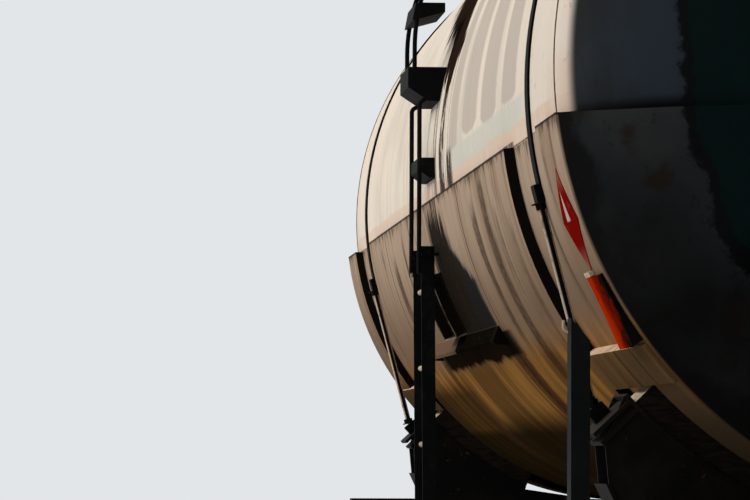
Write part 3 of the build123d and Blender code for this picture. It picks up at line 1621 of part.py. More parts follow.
for x_centre, place in ((saddle_x, "front"), (-saddle_x, "rear")):
    export_node(side_frames(x_centre), f"bogie_{place}_side_frames")
    export_node(bogie_bolster(x_centre), f"bogie_{place}_bolster")
    export_node(spring_nests(x_centre), f"bogie_{place}_springs")
    export_node(axle_boxes(x_centre), f"bogie_{place}_axle_boxes")
    export_node(brake_beams(x_centre), f"bogie_{place}_brake_beams")


# Wheelsets: an axle with turned seats and two rolled wheels with flanges inside
def wheel_pair(x_centre):
    """Two wheels on one axle line."""
    hub_start = wheel_inner_y - hub_lead
    hub_end = hub_start + wheel_hub_length
    bore = axle_seat_radius + seat
    rim_inner = tread_radius - wheel_rim_depth
    web_hub_y = hub_start + wheel_web_hub_offset
    web_rim_y = wheel_inner_y + wheel_web_rim_offset
    tread_start = wheel_inner_y + flange_thickness + tread_root
    with BuildPart() as wheels:
        for side in (-1, 1):
            with BuildSketch(Plane.XY.offset(axle_z)) as section:
                with BuildLine():
                    profile = (
                        (bore, hub_start),
                        (wheel_hub_radius, hub_start),
                        (wheel_hub_radius, web_hub_y),
                        (rim_inner, web_rim_y),
                        (rim_inner, wheel_inner_y),
                        (flange_radius - flange_tip, wheel_inner_y),
                        (flange_radius, wheel_inner_y + flange_thickness / 2),
                        (tread_radius + flange_tip, wheel_inner_y + flange_thickness - tread_root / 2),
                        (tread_radius, tread_start),
                        (tread_radius - 5.0, wheel_outer_y),
                        (rim_inner, wheel_outer_y),
                        (rim_inner, web_rim_y + wheel_web_thickness),
                        (wheel_hub_radius, web_hub_y + wheel_web_thickness),
                        (wheel_hub_radius, hub_end),
                        (bore, hub_end),
                    )
                    Polyline(*((x_centre + radius, side * y) for radius, y in profile), close=True)
                make_face()
                web_ends = [
                    corner
                    for corner in section.vertices()
                    if corner.X - x_centre < rim_inner + 1.0
                    and web_hub_y - 1.0 < abs(corner.Y) < web_rim_y + wheel_web_thickness + 1.0
                ]
                fillet(web_ends, wheel_web_fillet)
            revolve(axis=Axis((x_centre, 0, axle_z), (0, 1, 0)))
    return wheels.part


def axle(x_centre):
    """Axle with journals, wheel seats and a thinner middle."""
    half_length = axle_length / 2
    journal_start = journal_y - box_length / 2 - 2.0
    seat_end = wheel_inner_y - hub_lead + wheel_hub_length
    seat_start = wheel_inner_y - axle_seat_lead
    with BuildPart() as shaft:
        with BuildSketch(Plane.XY.offset(axle_z)):
            with BuildLine():
                profile = (
                    (0, -half_length),
                    (journal_radius, -half_length),
                    (journal_radius, -journal_start),
                    (axle_seat_radius, -seat_end),
                    (axle_seat_radius, -seat_start),
                    (axle_middle_radius, -seat_start + axle_taper),
                    (axle_middle_radius, seat_start - axle_taper),
                    (axle_seat_radius, seat_start),
                    (axle_seat_radius, seat_end),
                    (journal_radius, journal_start),
                    (journal_radius, half_length),
                    (0, half_length),
                )
                Polyline(*((x_centre + radius, y) for radius, y in profile), close=True)
            make_face()
        revolve(axis=Axis((x_centre, 0, axle_z), (0, 1, 0)))
    return shaft.part


axle_places = (
    saddle_x + half_wheelbase,
    saddle_x - half_wheelbase,
    -saddle_x + half_wheelbase,
    -saddle_x - half_wheelbase,
)
for number, x_centre in enumerate(axle_places, start=1):
    export_node(wheel_pair(x_centre), f"wheels_{number}")
    export_node(axle(x_centre), f"axle_{number}")
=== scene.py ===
"""Looks of a four-axle railway tank car with a steam jacket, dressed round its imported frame.

Lengths are metres in the frame's own axes: +X points to the front end, +Y to the left side and +Z up.
Angles called phi are degrees above the horizontal plane through the tank's axis, the same on both flanks.
"""

from __future__ import annotations

import json
import logging
import math
from dataclasses import dataclass
from enum import Enum

import bmesh
import bpy
from mathutils import Matrix, Vector

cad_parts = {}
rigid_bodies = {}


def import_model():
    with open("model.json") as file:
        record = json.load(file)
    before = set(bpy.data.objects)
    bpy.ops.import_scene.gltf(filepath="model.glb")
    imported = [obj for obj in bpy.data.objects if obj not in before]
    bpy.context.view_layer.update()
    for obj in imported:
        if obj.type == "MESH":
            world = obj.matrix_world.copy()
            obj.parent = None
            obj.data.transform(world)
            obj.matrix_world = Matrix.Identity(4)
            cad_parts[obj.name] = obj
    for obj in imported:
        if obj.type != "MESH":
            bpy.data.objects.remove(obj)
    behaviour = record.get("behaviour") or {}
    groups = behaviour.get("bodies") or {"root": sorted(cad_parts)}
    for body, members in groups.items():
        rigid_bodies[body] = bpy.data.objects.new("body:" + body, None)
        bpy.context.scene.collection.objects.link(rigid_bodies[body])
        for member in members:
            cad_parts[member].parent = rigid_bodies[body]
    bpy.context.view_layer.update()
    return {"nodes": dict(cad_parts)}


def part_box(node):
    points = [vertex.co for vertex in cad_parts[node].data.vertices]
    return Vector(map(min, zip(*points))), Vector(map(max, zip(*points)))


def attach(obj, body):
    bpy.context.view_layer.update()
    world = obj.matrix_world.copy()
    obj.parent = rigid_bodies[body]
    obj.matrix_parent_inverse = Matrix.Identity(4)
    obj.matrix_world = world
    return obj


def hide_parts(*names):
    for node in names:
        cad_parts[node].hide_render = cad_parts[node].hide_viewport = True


LOG = logging.getLogger("tank_car")
SEED = 7

Colour = tuple[float, float, float]
Value = bpy.types.NodeSocket | float
Point = tuple[float, float, float]


class Side(Enum):
    """Flank of the car."""

    LEFT = 1
    RIGHT = -1


@dataclass(frozen=True)
class TankForm:
    """Main radii and places of the tank and its jacket, read from the frame."""

    axis_z: float
    radius: float
    jacket_radius: float
    front: float

    @classmethod
    def from_frame(cls) -> TankForm:
        """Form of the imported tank.

        Returns:
            The radii, the axis height and the reach of the heads.
        """
        low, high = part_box("tank_shell")
        jacket_low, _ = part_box("jacket_middle")
        return cls(
            axis_z=(low[2] + high[2]) / 2,
            radius=(high[2] - low[2]) / 2,
            jacket_radius=(low[2] + high[2]) / 2 - jacket_low[2],
            front=high[0],
        )

    def point(self, x: float, phi: float, radius: float, side: Side) -> Vector:
        """Place on a cylinder round the tank's axis.

        Args:
            x: Distance along the car.
            phi: Angle above the horizontal plane, in degrees.
            radius: Distance from the axis.
            side: Flank that the point is on.

        Returns:
            The point in the frame's axes.
        """
        angle = math.radians(phi)
        return Vector((x, side.value * radius * math.cos(angle), self.axis_z + radius * math.sin(angle)))


class Shape:
    """Closed mesh under construction, in the frame's axes."""

    def __init__(self, name: str) -> None:
        """Start an empty mesh.

        Args:
            name: Name of the finished piece.
        """
        self.name = name
        self.mesh = bmesh.new()

    def loft(self, rings: list[list[Vector]], closed: bool = False) -> Shape:
        """Skin a row of rings that have the same number of points.

        Args:
            rings: Rings in order, each a closed loop of points.
            closed: Whether the last ring joins the first.

        Returns:
            The shape itself.
        """
        rows = [[self.mesh.verts.new(point) for point in ring] for ring in rings]
        pairs = list(zip(rows, rows[1:]))
        if closed:
            pairs.append((rows[-1], rows[0]))
        for near, far in pairs:
            for index in range(len(near)):
                after = (index + 1) % len(near)
                self.mesh.faces.new((near[index], near[after], far[after], far[index]))
        if not closed:
            self.mesh.faces.new(list(reversed(rows[0])))
            self.mesh.faces.new(rows[-1])
        return self

    def box(self, low: Point, high: Point) -> Shape:
        """Add a rectangular block.

        Args:
            low: Lowest corner.
            high: Highest corner.

        Returns:
            The shape itself.
        """
        corners = ((low[0], low[1]), (high[0], low[1]), (high[0], high[1]), (low[0], high[1]))
        return self.loft([[Vector((x, y, z)) for x, y in corners] for z in (low[2], high[2])])

    def tube(self, path: list[Vector], radius: float, sides: int = 12) -> Shape:
        """Add a round bar along a path.

        Args:
            path: Points on the bar's middle line.
            radius: Radius of the bar.
            sides: Flats round the bar.

        Returns:
            The shape itself.
        """
        rings = []
        across = None
        for index, point in enumerate(path):
            ahead = (path[min(index + 1, len(path) - 1)] - path[max(index - 1, 0)]).normalized()
            if across is None:
                across = ahead.orthogonal().normalized()
            across = (across - ahead * across.dot(ahead)).normalized()
            other = ahead.cross(across)
            turns = [2 * math.pi * step / sides for step in range(sides)]
            rings.append([point + radius * (math.cos(turn) * across + math.sin(turn) * other) for turn in turns])
        return self.loft(rings)

    def around(self, form: TankForm, side: Side, phis: list[float], profile: list[tuple[float, float]]) -> Shape:
        """Sweep a profile round the tank.

        Args:
            form: Axis of the tank.
            side: Flank, with angles over 90 degrees going on over the top.
            phis: Angles of the steps, in degrees.
            profile: Points of the profile as distance along the car and radius.

        Returns:
            The shape itself.
        """
        return self.loft([[form.point(x, phi, radius, side) for x, radius in profile] for phi in phis])

    def finish(self, paint: bpy.types.Material, body: str, slot: str | None = None, sharp: float = 35.0) -> bpy.types.Object:
        """Turn the mesh into a piece that rides on a body.

        Args:
            paint: Material of the piece.
            body: Body that carries it.
            slot: Not used.
            sharp: Angle above which an edge stays sharp, in degrees.

        Returns:
            The finished object.
        """
        bmesh.ops.recalc_face_normals(self.mesh, faces=self.mesh.faces)
        data = bpy.data.meshes.new(self.name)
        self.mesh.to_mesh(data)
        self.mesh.free()
        return place_piece(data, self.name, paint, body, sharp)


def place_piece(
    data: bpy.types.Mesh,
    name: str,
    paint: bpy.types.Material,
    body: str,
    sharp: float = 35.0,
) -> bpy.types.Object:
    """Put a mesh into the scene on one of the frame's bodies.

    Args:
        data: Mesh in the frame's axes.
        name: Name of the piece.
        paint: Its material.
        body: Body that carries it.
        sharp: Angle above which an edge stays sharp, in degrees.

    Returns:
        The object.
    """
    data.shade_smooth()
    data.set_sharp_from_angle(angle=math.radians(sharp))
    data.materials.clear()
    data.materials.append(paint)
    piece = bpy.data.objects.new(name, data)
    bpy.context.scene.collection.objects.link(piece)
    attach(piece, body)
    LOG.info("%s: %d faces on %s", name, len(data.polygons), body)
    return piece


def steps(start: float, end: float, count: int) -> list[float]:
    """Evenly spaced numbers from start to end.

    Args:
        start: First number.
        end: Last number.
        count: How many there are.

    Returns:
        The numbers.
    """
    return [start + (end - start) * index / (count - 1) for index in range(count)]


def rounded_path(corners: list[Vector], radius: float, count: int = 6) -> list[Vector]:
    """Path through corners with each one rounded.

    Args:
        corners: Corner points.
        radius: Distance from a corner at which its bend starts.
        count: Points in each bend.

    Returns:
        Points of the path.
    """
    path = [corners[0]]
    for before, corner, after in zip(corners, corners[1:], corners[2:]):
        start = corner + (before - corner).normalized() * radius
        end = corner + (after - corner).normalized() * radius
        for share in steps(0.0, 1.0, count):
            path.append(start.lerp(corner, share).lerp(corner.lerp(end, share), share))
    path.append(corners[-1])
    return path


@dataclass(frozen=True)
class Fastener:
    """Place of one bolt and the way that its head faces."""

    place: Vector
    facing: Vector


class Scatter:
    """Node group that sets a small mesh on every point of a carrier and turns it to the point's facing."""

    def __init__(self, name: str) -> None:
        """Start a node group with its sockets.

        Args:
            name: Name of the group.
        """
        self.tree = bpy.data.node_groups.new(name, "GeometryNodeTree")
        self.ids: dict[str, str] = {}
        self.add_socket("Geometry", "NodeSocketGeometry")
        self.add_socket("Radius", "NodeSocketFloat")
        self.add_socket("Height", "NodeSocketFloat")
        self.add_socket("Seed", "NodeSocketInt")
        self.add_socket("Paint", "NodeSocketMaterial")
        self.tree.interface.new_socket("Geometry", in_out="OUTPUT", socket_type="NodeSocketGeometry")
        self.source = self.tree.nodes.new("NodeGroupInput")
        self.target = self.tree.nodes.new("NodeGroupOutput")

    def add_socket(self, name: str, kind: str) -> None:
        """Add a named input.

        Args:
            name: Name of the input.
            kind: Type of its socket.
        """
        self.ids[name] = self.tree.interface.new_socket(name, in_out="INPUT", socket_type=kind).identifier

    def node(self, kind: str, **inputs: object) -> bpy.types.Node:
        """Add a node and feed its inputs by their names, with _ for a space."""
        node = self.tree.nodes.new(kind)
        for name, value in inputs.items():
            socket = node.inputs[name.replace("_", " ")]
            if isinstance(value, bpy.types.NodeSocket):
                self.tree.links.new(value, socket)
            else:
                socket.default_value = value
        return node

    def scaled(self, socket: bpy.types.NodeSocket, factor: float) -> bpy.types.NodeSocket:
        """Product of a socket and a plain number."""
        node = self.tree.nodes.new("ShaderNodeMath")
        node.operation = "MULTIPLY"
        self.tree.links.new(socket, node.inputs[0])
        node.inputs[1].default_value = factor
        return node.outputs[0]

    def lifted(self, mesh: bpy.types.NodeSocket, height: bpy.types.NodeSocket) -> bpy.types.NodeSocket:
        """Mesh moved up by a height."""
        shift = self.node("ShaderNodeCombineXYZ", Z=height)
        return self.node("GeometryNodeTransform", Geometry=mesh, Translation=shift.outputs[0]).outputs[0]

    def close(self, small: bpy.types.NodeSocket, spin: float) -> None:
        """Set the small mesh on the points, make it real and give it its material.

        Args:
            small: Geometry socket of the small mesh, which points up.
            spin: Largest random turn about its own axis.
        """
        facing = self.tree.nodes.new("GeometryNodeInputNamedAttribute")
        facing.data_type = "FLOAT_VECTOR"
        facing.inputs["Name"].default_value = "facing"
        align = self.tree.nodes.new("FunctionNodeAlignRotationToVector")
        align.axis = "Z"
        self.tree.links.new(facing.outputs["Attribute"], align.inputs["Vector"])
        chance = self.tree.nodes.new("FunctionNodeRandomValue")
        chance.data_type = "FLOAT"
        low, high = (s for s in chance.inputs if s.type == "VALUE" and s.name in ("Min", "Max"))
        low.default_value = 0.0
        high.default_value = spin
        self.tree.links.new(self.source.outputs["Seed"], chance.inputs["Seed"])
        value = next(s for s in chance.outputs if s.type == "VALUE")
        turn = self.node("ShaderNodeCombineXYZ", Z=value)
        rotate = self.tree.nodes.new("FunctionNodeRotateRotation")
        rotate.rotation_space = "LOCAL"
        self.tree.links.new(align.outputs[0], rotate.inputs[0])
        self.tree.links.new(turn.outputs[0], rotate.inputs[1])
        spread = self.node(
            "GeometryNodeInstanceOnPoints",
            Points=self.source.outputs["Geometry"],
            Instance=small,
            Rotation=rotate.outputs[0],
        )
        real = self.node("GeometryNodeRealizeInstances", Geometry=spread.outputs[0])
        painted = self.node("GeometryNodeSetMaterial", Geometry=real.outputs[0], Material=self.source.outputs["Paint"])
        self.tree.links.new(painted.outputs[0], self.target.inputs[0])

    def apply(
        self,
        name: str,
        fasteners: list[Fastener],
        radius: float,
        height: float,
        paint: bpy.types.Material,
        body: str,
        slot: str | None = None,
    ) -> bpy.types.Object:
        """Build one plain mesh from the group and let it ride on a body.

        Args:
            name: Name of the piece.
            fasteners: Places and facings.
            radius: Radius input.
            height: Height input.
            paint: Material.
            body: Body that carries the piece.
            slot: Not used.

        Returns:
            The piece.
        """
        carrier = bpy.data.meshes.new(name + "_carrier")
        carrier.from_pydata([item.place for item in fasteners], [], [])
        facing = carrier.attributes.new("facing", "FLOAT_VECTOR", "POINT")
        facing.data.foreach_set("vector", [number for item in fasteners for number in item.facing])
        holder = bpy.data.objects.new(name + "_carrier", carrier)
        bpy.context.scene.collection.objects.link(holder)
        modifier = holder.modifiers.new("scatter", "NODES")
        modifier.node_group = self.tree
        modifier[self.ids["Radius"]] = radius
        modifier[self.ids["Height"]] = height
        modifier[self.ids["Seed"]] = SEED
        modifier[self.ids["Paint"]] = paint
        bpy.context.view_layer.update()
        evaluated = holder.evaluated_get(bpy.context.evaluated_depsgraph_get())
        data = bpy.data.meshes.new_from_object(evaluated)
        holder.modifiers.remove(modifier)
        bpy.data.objects.remove(holder)
        data.name = name
        return place_piece(data, name, paint, body)


def hex_bolts() -> Scatter:
    """Node group of bolt heads: a washer, a hexagon and the stud's end.

    Returns:
        The group.
    """
    group = Scatter("hex_bolts")
    radius, height = group.source.outputs["Radius"], group.source.outputs["Height"]
    parts = []
    for vertices, wide, deep, middle in ((14, 1.45, 0.22, 0.11), (6, 1.0, 0.8, 0.6), (10, 0.55, 0.35, 1.1)):
        disc = group.node(
            "GeometryNodeMeshCylinder",
            Vertices=vertices,
            Radius=group.scaled(radius, wide),
            Depth=group.scaled(height, deep),
        )
        parts.append(group.lifted(disc.outputs["Mesh"], group.scaled(height, middle)))
    join = group.tree.nodes.new("GeometryNodeJoinGeometry")
    for part in parts:
        group.tree.links.new(part, join.inputs[0])
    group.close(join.outputs[0], math.pi / 3)
    return group


def coil_springs(turns: float, wire: float) -> Scatter:
    """Node group of coil springs that stand on their points.

    Args:
        turns: Turns of each spring.
        wire: Radius of the wire.

    Returns:
        The group.
    """
    group = Scatter("coil_springs")
    helix = group.node(
        "GeometryNodeCurveSpiral",
        Resolution=20,
        Rotations=turns,
        Start_Radius=group.source.outputs["Radius"],
        End_Radius=group.source.outputs["Radius"],
        Height=group.source.outputs["Height"],
    )
    section = group.node("GeometryNodeCurvePrimitiveCircle", Resolution=8, Radius=wire)
    coil = group.node("GeometryNodeCurveToMesh", Curve=helix.outputs[0], Profile_Curve=section.outputs[0], Fill_Caps=True)
    group.close(coil.outputs[0], math.pi)
    return group


def tread_studs() -> Scatter:
    """Node group of raised bars on a walking surface, each turned one way or the other.

    Returns:
        The group.
    """
    group = Scatter("tread_studs")
    stud = group.node("GeometryNodeMeshCylinder", Vertices=6, Radius=group.source.outputs["Radius"], Depth=group.source.outputs["Height"])
    slim = group.node("GeometryNodeTransform", Geometry=stud.outputs["Mesh"], Scale=(1.0, 0.32, 1.0))
    group.close(slim.outputs[0], 0.0)
    return group


class Graph:
    """Shader nodes of one material, joined through short calls."""

    def __init__(self, name: str) -> None:
        """Start an empty material.

        Args:
            name: Name of the material.
        """
        self.material = bpy.data.materials.new(name)
        self.material.use_nodes = True
        self.tree = self.material.node_tree
        self.tree.nodes.clear()
        self.output = self.tree.nodes.new("ShaderNodeOutputMaterial")

    def feed(self, socket: bpy.types.NodeSocket, value: Value | Colour) -> None:
        """Link a socket to another, or set its own value."""
        if isinstance(value, bpy.types.NodeSocket):
            self.tree.links.new(value, socket)
        elif isinstance(value, tuple) and socket.type == "RGBA":
            socket.default_value = (*value, 1.0)
        else:
            socket.default_value = value

    def position(self) -> bpy.types.NodeSocket:
        """Object coordinates, which are the frame's own."""
        return self.tree.nodes.new("ShaderNodeTexCoord").outputs["Object"]

    def separate(self, vector: Value) -> tuple[Value, Value, Value]:
        """Split a vector into its three numbers."""
        node = self.tree.nodes.new("ShaderNodeSeparateXYZ")
        self.feed(node.inputs[0], vector)
        return node.outputs[0], node.outputs[1], node.outputs[2]

    def combine(self, x: Value, y: Value, z: Value) -> Value:
        """Join three numbers into a vector."""
        node = self.tree.nodes.new("ShaderNodeCombineXYZ")
        for socket, value in zip(node.inputs, (x, y, z)):
            self.feed(socket, value)
        return node.outputs[0]

    def math(self, operation: str, first: Value, second: Value = 0.0, clamp: bool = False) -> Value:
        """One arithmetic step on numbers.

        Args:
            operation: Name of the Math node's operation.
            first: First operand.
            second: Second operand.
            clamp: Whether the result is held between 0 and 1.

        Returns:
            The result's socket.
        """
        node = self.tree.nodes.new("ShaderNodeMath")
        node.operation = operation
        node.use_clamp = clamp
        self.feed(node.inputs[0], first)
        self.feed(node.inputs[1], second)
        return node.outputs[0]

    def product(self, *values: Value) -> Value:
        """Product of several numbers."""
        result = values[0]
        for value in values[1:]:
            result = self.math("MULTIPLY", result, value)
        return result

    def most(self, *values: Value) -> Value:
        """Largest of several numbers."""
        result = values[0]
        for value in values[1:]:
            result = self.math("MAXIMUM", result, value)
        return result

    def smooth(self, value: Value, start: float, end: float) -> Value:
        """Step that rises smoothly from 0 at start to 1 at end, or falls where end is the lower."""
        node = self.tree.nodes.new("ShaderNodeMapRange")
        node.interpolation_type = "SMOOTHSTEP"
        self.feed(node.inputs["Value"], value)
        node.inputs["From Min"].default_value = start
        node.inputs["From Max"].default_value = end
        return node.outputs["Result"]

    def linear(self, value: Value, start: float, end: float, low: float, high: float) -> Value:
        """Straight ramp of a number from one range to another, held at its ends."""
        node = self.tree.nodes.new("ShaderNodeMapRange")
        self.feed(node.inputs["Value"], value)
        for name, number in zip(("From Min", "From Max", "To Min", "To Max"), (start, end, low, high)):
            node.inputs[name].default_value = number
        return node.outputs["Result"]

    def band(self, value: Value, low: float, high: float, soft: float) -> Value:
        """1 between two limits and 0 outside, with soft edges."""
        return self.product(
            self.smooth(value, low - soft, low + soft),
            self.smooth(value, high + soft, high - soft),
        )

    def noise(
        self,
        vector: Value,
        scale: float,
        detail: float = 4.0,
        roughness: float = 0.55,
        distortion: float = 0.0,
    ) -> Value:
        """Noise texture's factor.

        Args:
            vector: Coordinates.
            scale: Features in each unit of the coordinates.
            detail: Octaves.
            roughness: Share of the finer octaves.
            distortion: How far the pattern is warped.

        Returns:
            The factor's socket, near 0.5 on average.
        """
        node = self.tree.nodes.new("ShaderNodeTexNoise")
        self.feed(node.inputs["Vector"], vector)
        for name, number in zip(("Scale", "Detail", "Roughness", "Distortion"), (scale, detail, roughness, distortion)):
            node.inputs[name].default_value = number
        return node.outputs["Fac"]

    def mix(self, factor: Value, under: Value | Colour, over: Value | Colour) -> Value:
        """Blend of two colours."""
        node = self.tree.nodes.new("ShaderNodeMix")
        node.data_type = "RGBA"
        self.feed(node.inputs[0], factor)
        self.feed(node.inputs[6], under)
        self.feed(node.inputs[7], over)
        return node.outputs[2]

    def bump(self, height: Value, distance: float, strength: float = 1.0) -> Value:
        """Normal bent by a height.

        Args:
            height: Height between 0 and 1.
            distance: What a height of 1 stands for, in metres.
            strength: Share of the effect.

        Returns:
            The normal's socket.
        """
        node = self.tree.nodes.new("ShaderNodeBump")
        node.inputs["Strength"].default_value = strength
        node.inputs["Distance"].default_value = distance
        self.feed(node.inputs["Height"], height)
        return node.outputs["Normal"]

    def surface(
        self,
        colour: Value | Colour,
        roughness: Value,
        metallic: Value = 0.0,
        normal: Value | None = None,
        specular: Value = 0.5,
    ) -> bpy.types.Material:
        """Finish the material with a principled surface.

        Args:
            colour: Base colour.
            roughness: Roughness.
            metallic: Share of bare metal.
            normal: Bent normal, if any.
            specular: Strength of the plain reflection.

        Returns:
            The finished material.
        """
        node = self.tree.nodes.new("ShaderNodeBsdfPrincipled")
        self.feed(node.inputs["Base Color"], colour)
        self.feed(node.inputs["Roughness"], roughness)
        self.feed(node.inputs["Metallic"], metallic)
        self.feed(node.inputs["Specular IOR Level"], specular)
        if normal is not None:
            self.feed(node.inputs["Normal"], normal)
        self.tree.links.new(node.outputs[0], self.output.inputs["Surface"])
        return self.material


class TankGraph(Graph):
    """Graph with coordinates that run along and round the tank."""

    def __init__(self, name: str, form: TankForm) -> None:
        """Start the material and its tank coordinates.

        Args:
            name: Name of the material.
            form: Radii and axis of the tank.
        """
        super().__init__(name)
        self.place = self.position()
        self.x, self.y, z = self.separate(self.place)
        height = self.math("SUBTRACT", z, form.axis_z)
        self.phi = self.math("MULTIPLY", self.math("ARCTAN2", height, self.math("ABSOLUTE", self.y)), 180 / math.pi)
        squares = self.math("ADD", self.product(self.y, self.y), self.product(height, height))
        self.radius = self.math("SQRT", squares)
        self.arc = self.math("MULTIPLY", self.phi, form.radius * math.pi / 180)
        self.flank = self.math("SIGN", self.y)

    def runs(self, along: float, down: float, detail: float = 4.0, roughness: float = 0.6, seed: float = 0.0) -> Value:
        """Noise drawn out down the flank, as liquid runs are.

        Args:
            along: Features in a metre along the car.
            down: Features in a metre round the tank.
            detail: Octaves.
            roughness: Share of the finer octaves.
            seed: Shift that gives another pattern.

        Returns:
            The factor's socket.
        """
        vector = self.combine(
            self.math("MULTIPLY", self.x, along),
            self.math("MULTIPLY", self.arc, down),
            self.math("ADD", self.math("MULTIPLY", self.flank, 3.7), seed),
        )
        return self.noise(vector, 1.0, detail, roughness)


@dataclass(frozen=True)
class PaintedOverPatch:
    """Grey vertical patch of touching-up paint on the upper flank."""

    start: float
    end: float
    low_phi: float


@dataclass(frozen=True)
class Run:
    """One dark run down the jacket: mostly runs of liquid, one of them a painted shadow."""

    x: float
    width: float
    top_phi: float
    low_phi: float
    strength: float


@dataclass(frozen=True)
class FlankTones:
    """Dusty tan of the lower flanks and the dirt that ran down them, darkening downwards partly as painted shade."""

    tan: Colour = (0.43, 0.315, 0.222)
    brown: Colour = (0.205, 0.128, 0.074)
    gold: Colour = (0.340, 0.160, 0.040)
    shade: Colour = (0.012, 0.0085, 0.0035)
    stain: Colour = (0.135, 0.068, 0.033)
    run: Colour = (0.036, 0.015, 0.007)
    seam_phi: float = -7.0

    def colour(self, graph: TankGraph) -> Value:
        """Streaked colour of a flank below the seam.

        Args:
            graph: Graph of the material.

        Returns:
            The colour's socket.
        """
        broad = graph.runs(2.6, 0.30, 5.0, 0.6, 7.0)
        middle = graph.runs(13.0, 0.38, 6.0, 0.68, 2.0)
        hair = graph.runs(52.0, 0.70, 4.0, 0.6, 17.0)
        cloud = graph.noise(graph.place, 2.3, 6.0, 0.65, 0.3)
        grit = graph.noise(graph.place, 34.0, 5.0, 0.7)
        # tan to brown downwards: dirt, and painted shade of the lower flank
        colour = graph.mix(graph.smooth(graph.phi, -9.0, -31.0), self.tan, self.brown)
        colour = graph.mix(graph.smooth(graph.phi, -30.0, -38.0), colour, self.gold)
        dry = graph.product(graph.smooth(broad, 0.48, 0.64), graph.smooth(graph.phi, -38.0, -31.0), 0.45)
        colour = graph.mix(dry, colour, self.brown)
        low = graph.product(graph.smooth(broad, 0.44, 0.58), graph.smooth(graph.phi, -31.0, -38.0), 0.60)
        colour = graph.mix(low, colour, self.shade)
        colour = graph.mix(graph.product(graph.smooth(cloud, 0.52, 0.70), 0.30), colour, self.stain)
        colour = graph.mix(graph.product(graph.smooth(middle, 0.53, 0.64), 0.55), colour, self.stain)
        colour = graph.mix(graph.product(graph.smooth(middle, 0.64, 0.73), 0.80), colour, self.run)
        colour = graph.mix(graph.product(graph.smooth(hair, 0.54, 0.66), 0.30), colour, self.stain)
        colour = graph.mix(graph.product(graph.smooth(grit, 0.60, 0.70), 0.30), colour, self.stain)
        length = graph.linear(graph.runs(11.0, 0.0, 5.0, 0.7, 29.0), 0.44, 0.74, 0.12, 4.2)
        reach = graph.math("DIVIDE", graph.math("SUBTRACT", self.seam_phi, graph.phi), length)
        hanging = graph.product(graph.smooth(reach, 1.15, 0.35), graph.smooth(hair, 0.38, 0.52))
        colour = graph.mix(graph.product(hanging, 0.75), colour, self.run)
        # painted shadow low on the flank towards the rear, and painted shade under the flank below about -43.5 degrees
        rear = graph.product(graph.smooth(graph.x, -1.0, -1.5), graph.smooth(graph.phi, -36.0, -41.0), 0.75)
        under = graph.product(graph.smooth(graph.phi, -43.5, -51.5), 0.95)
        return graph.mix(graph.most(rear, under), colour, self.shade)


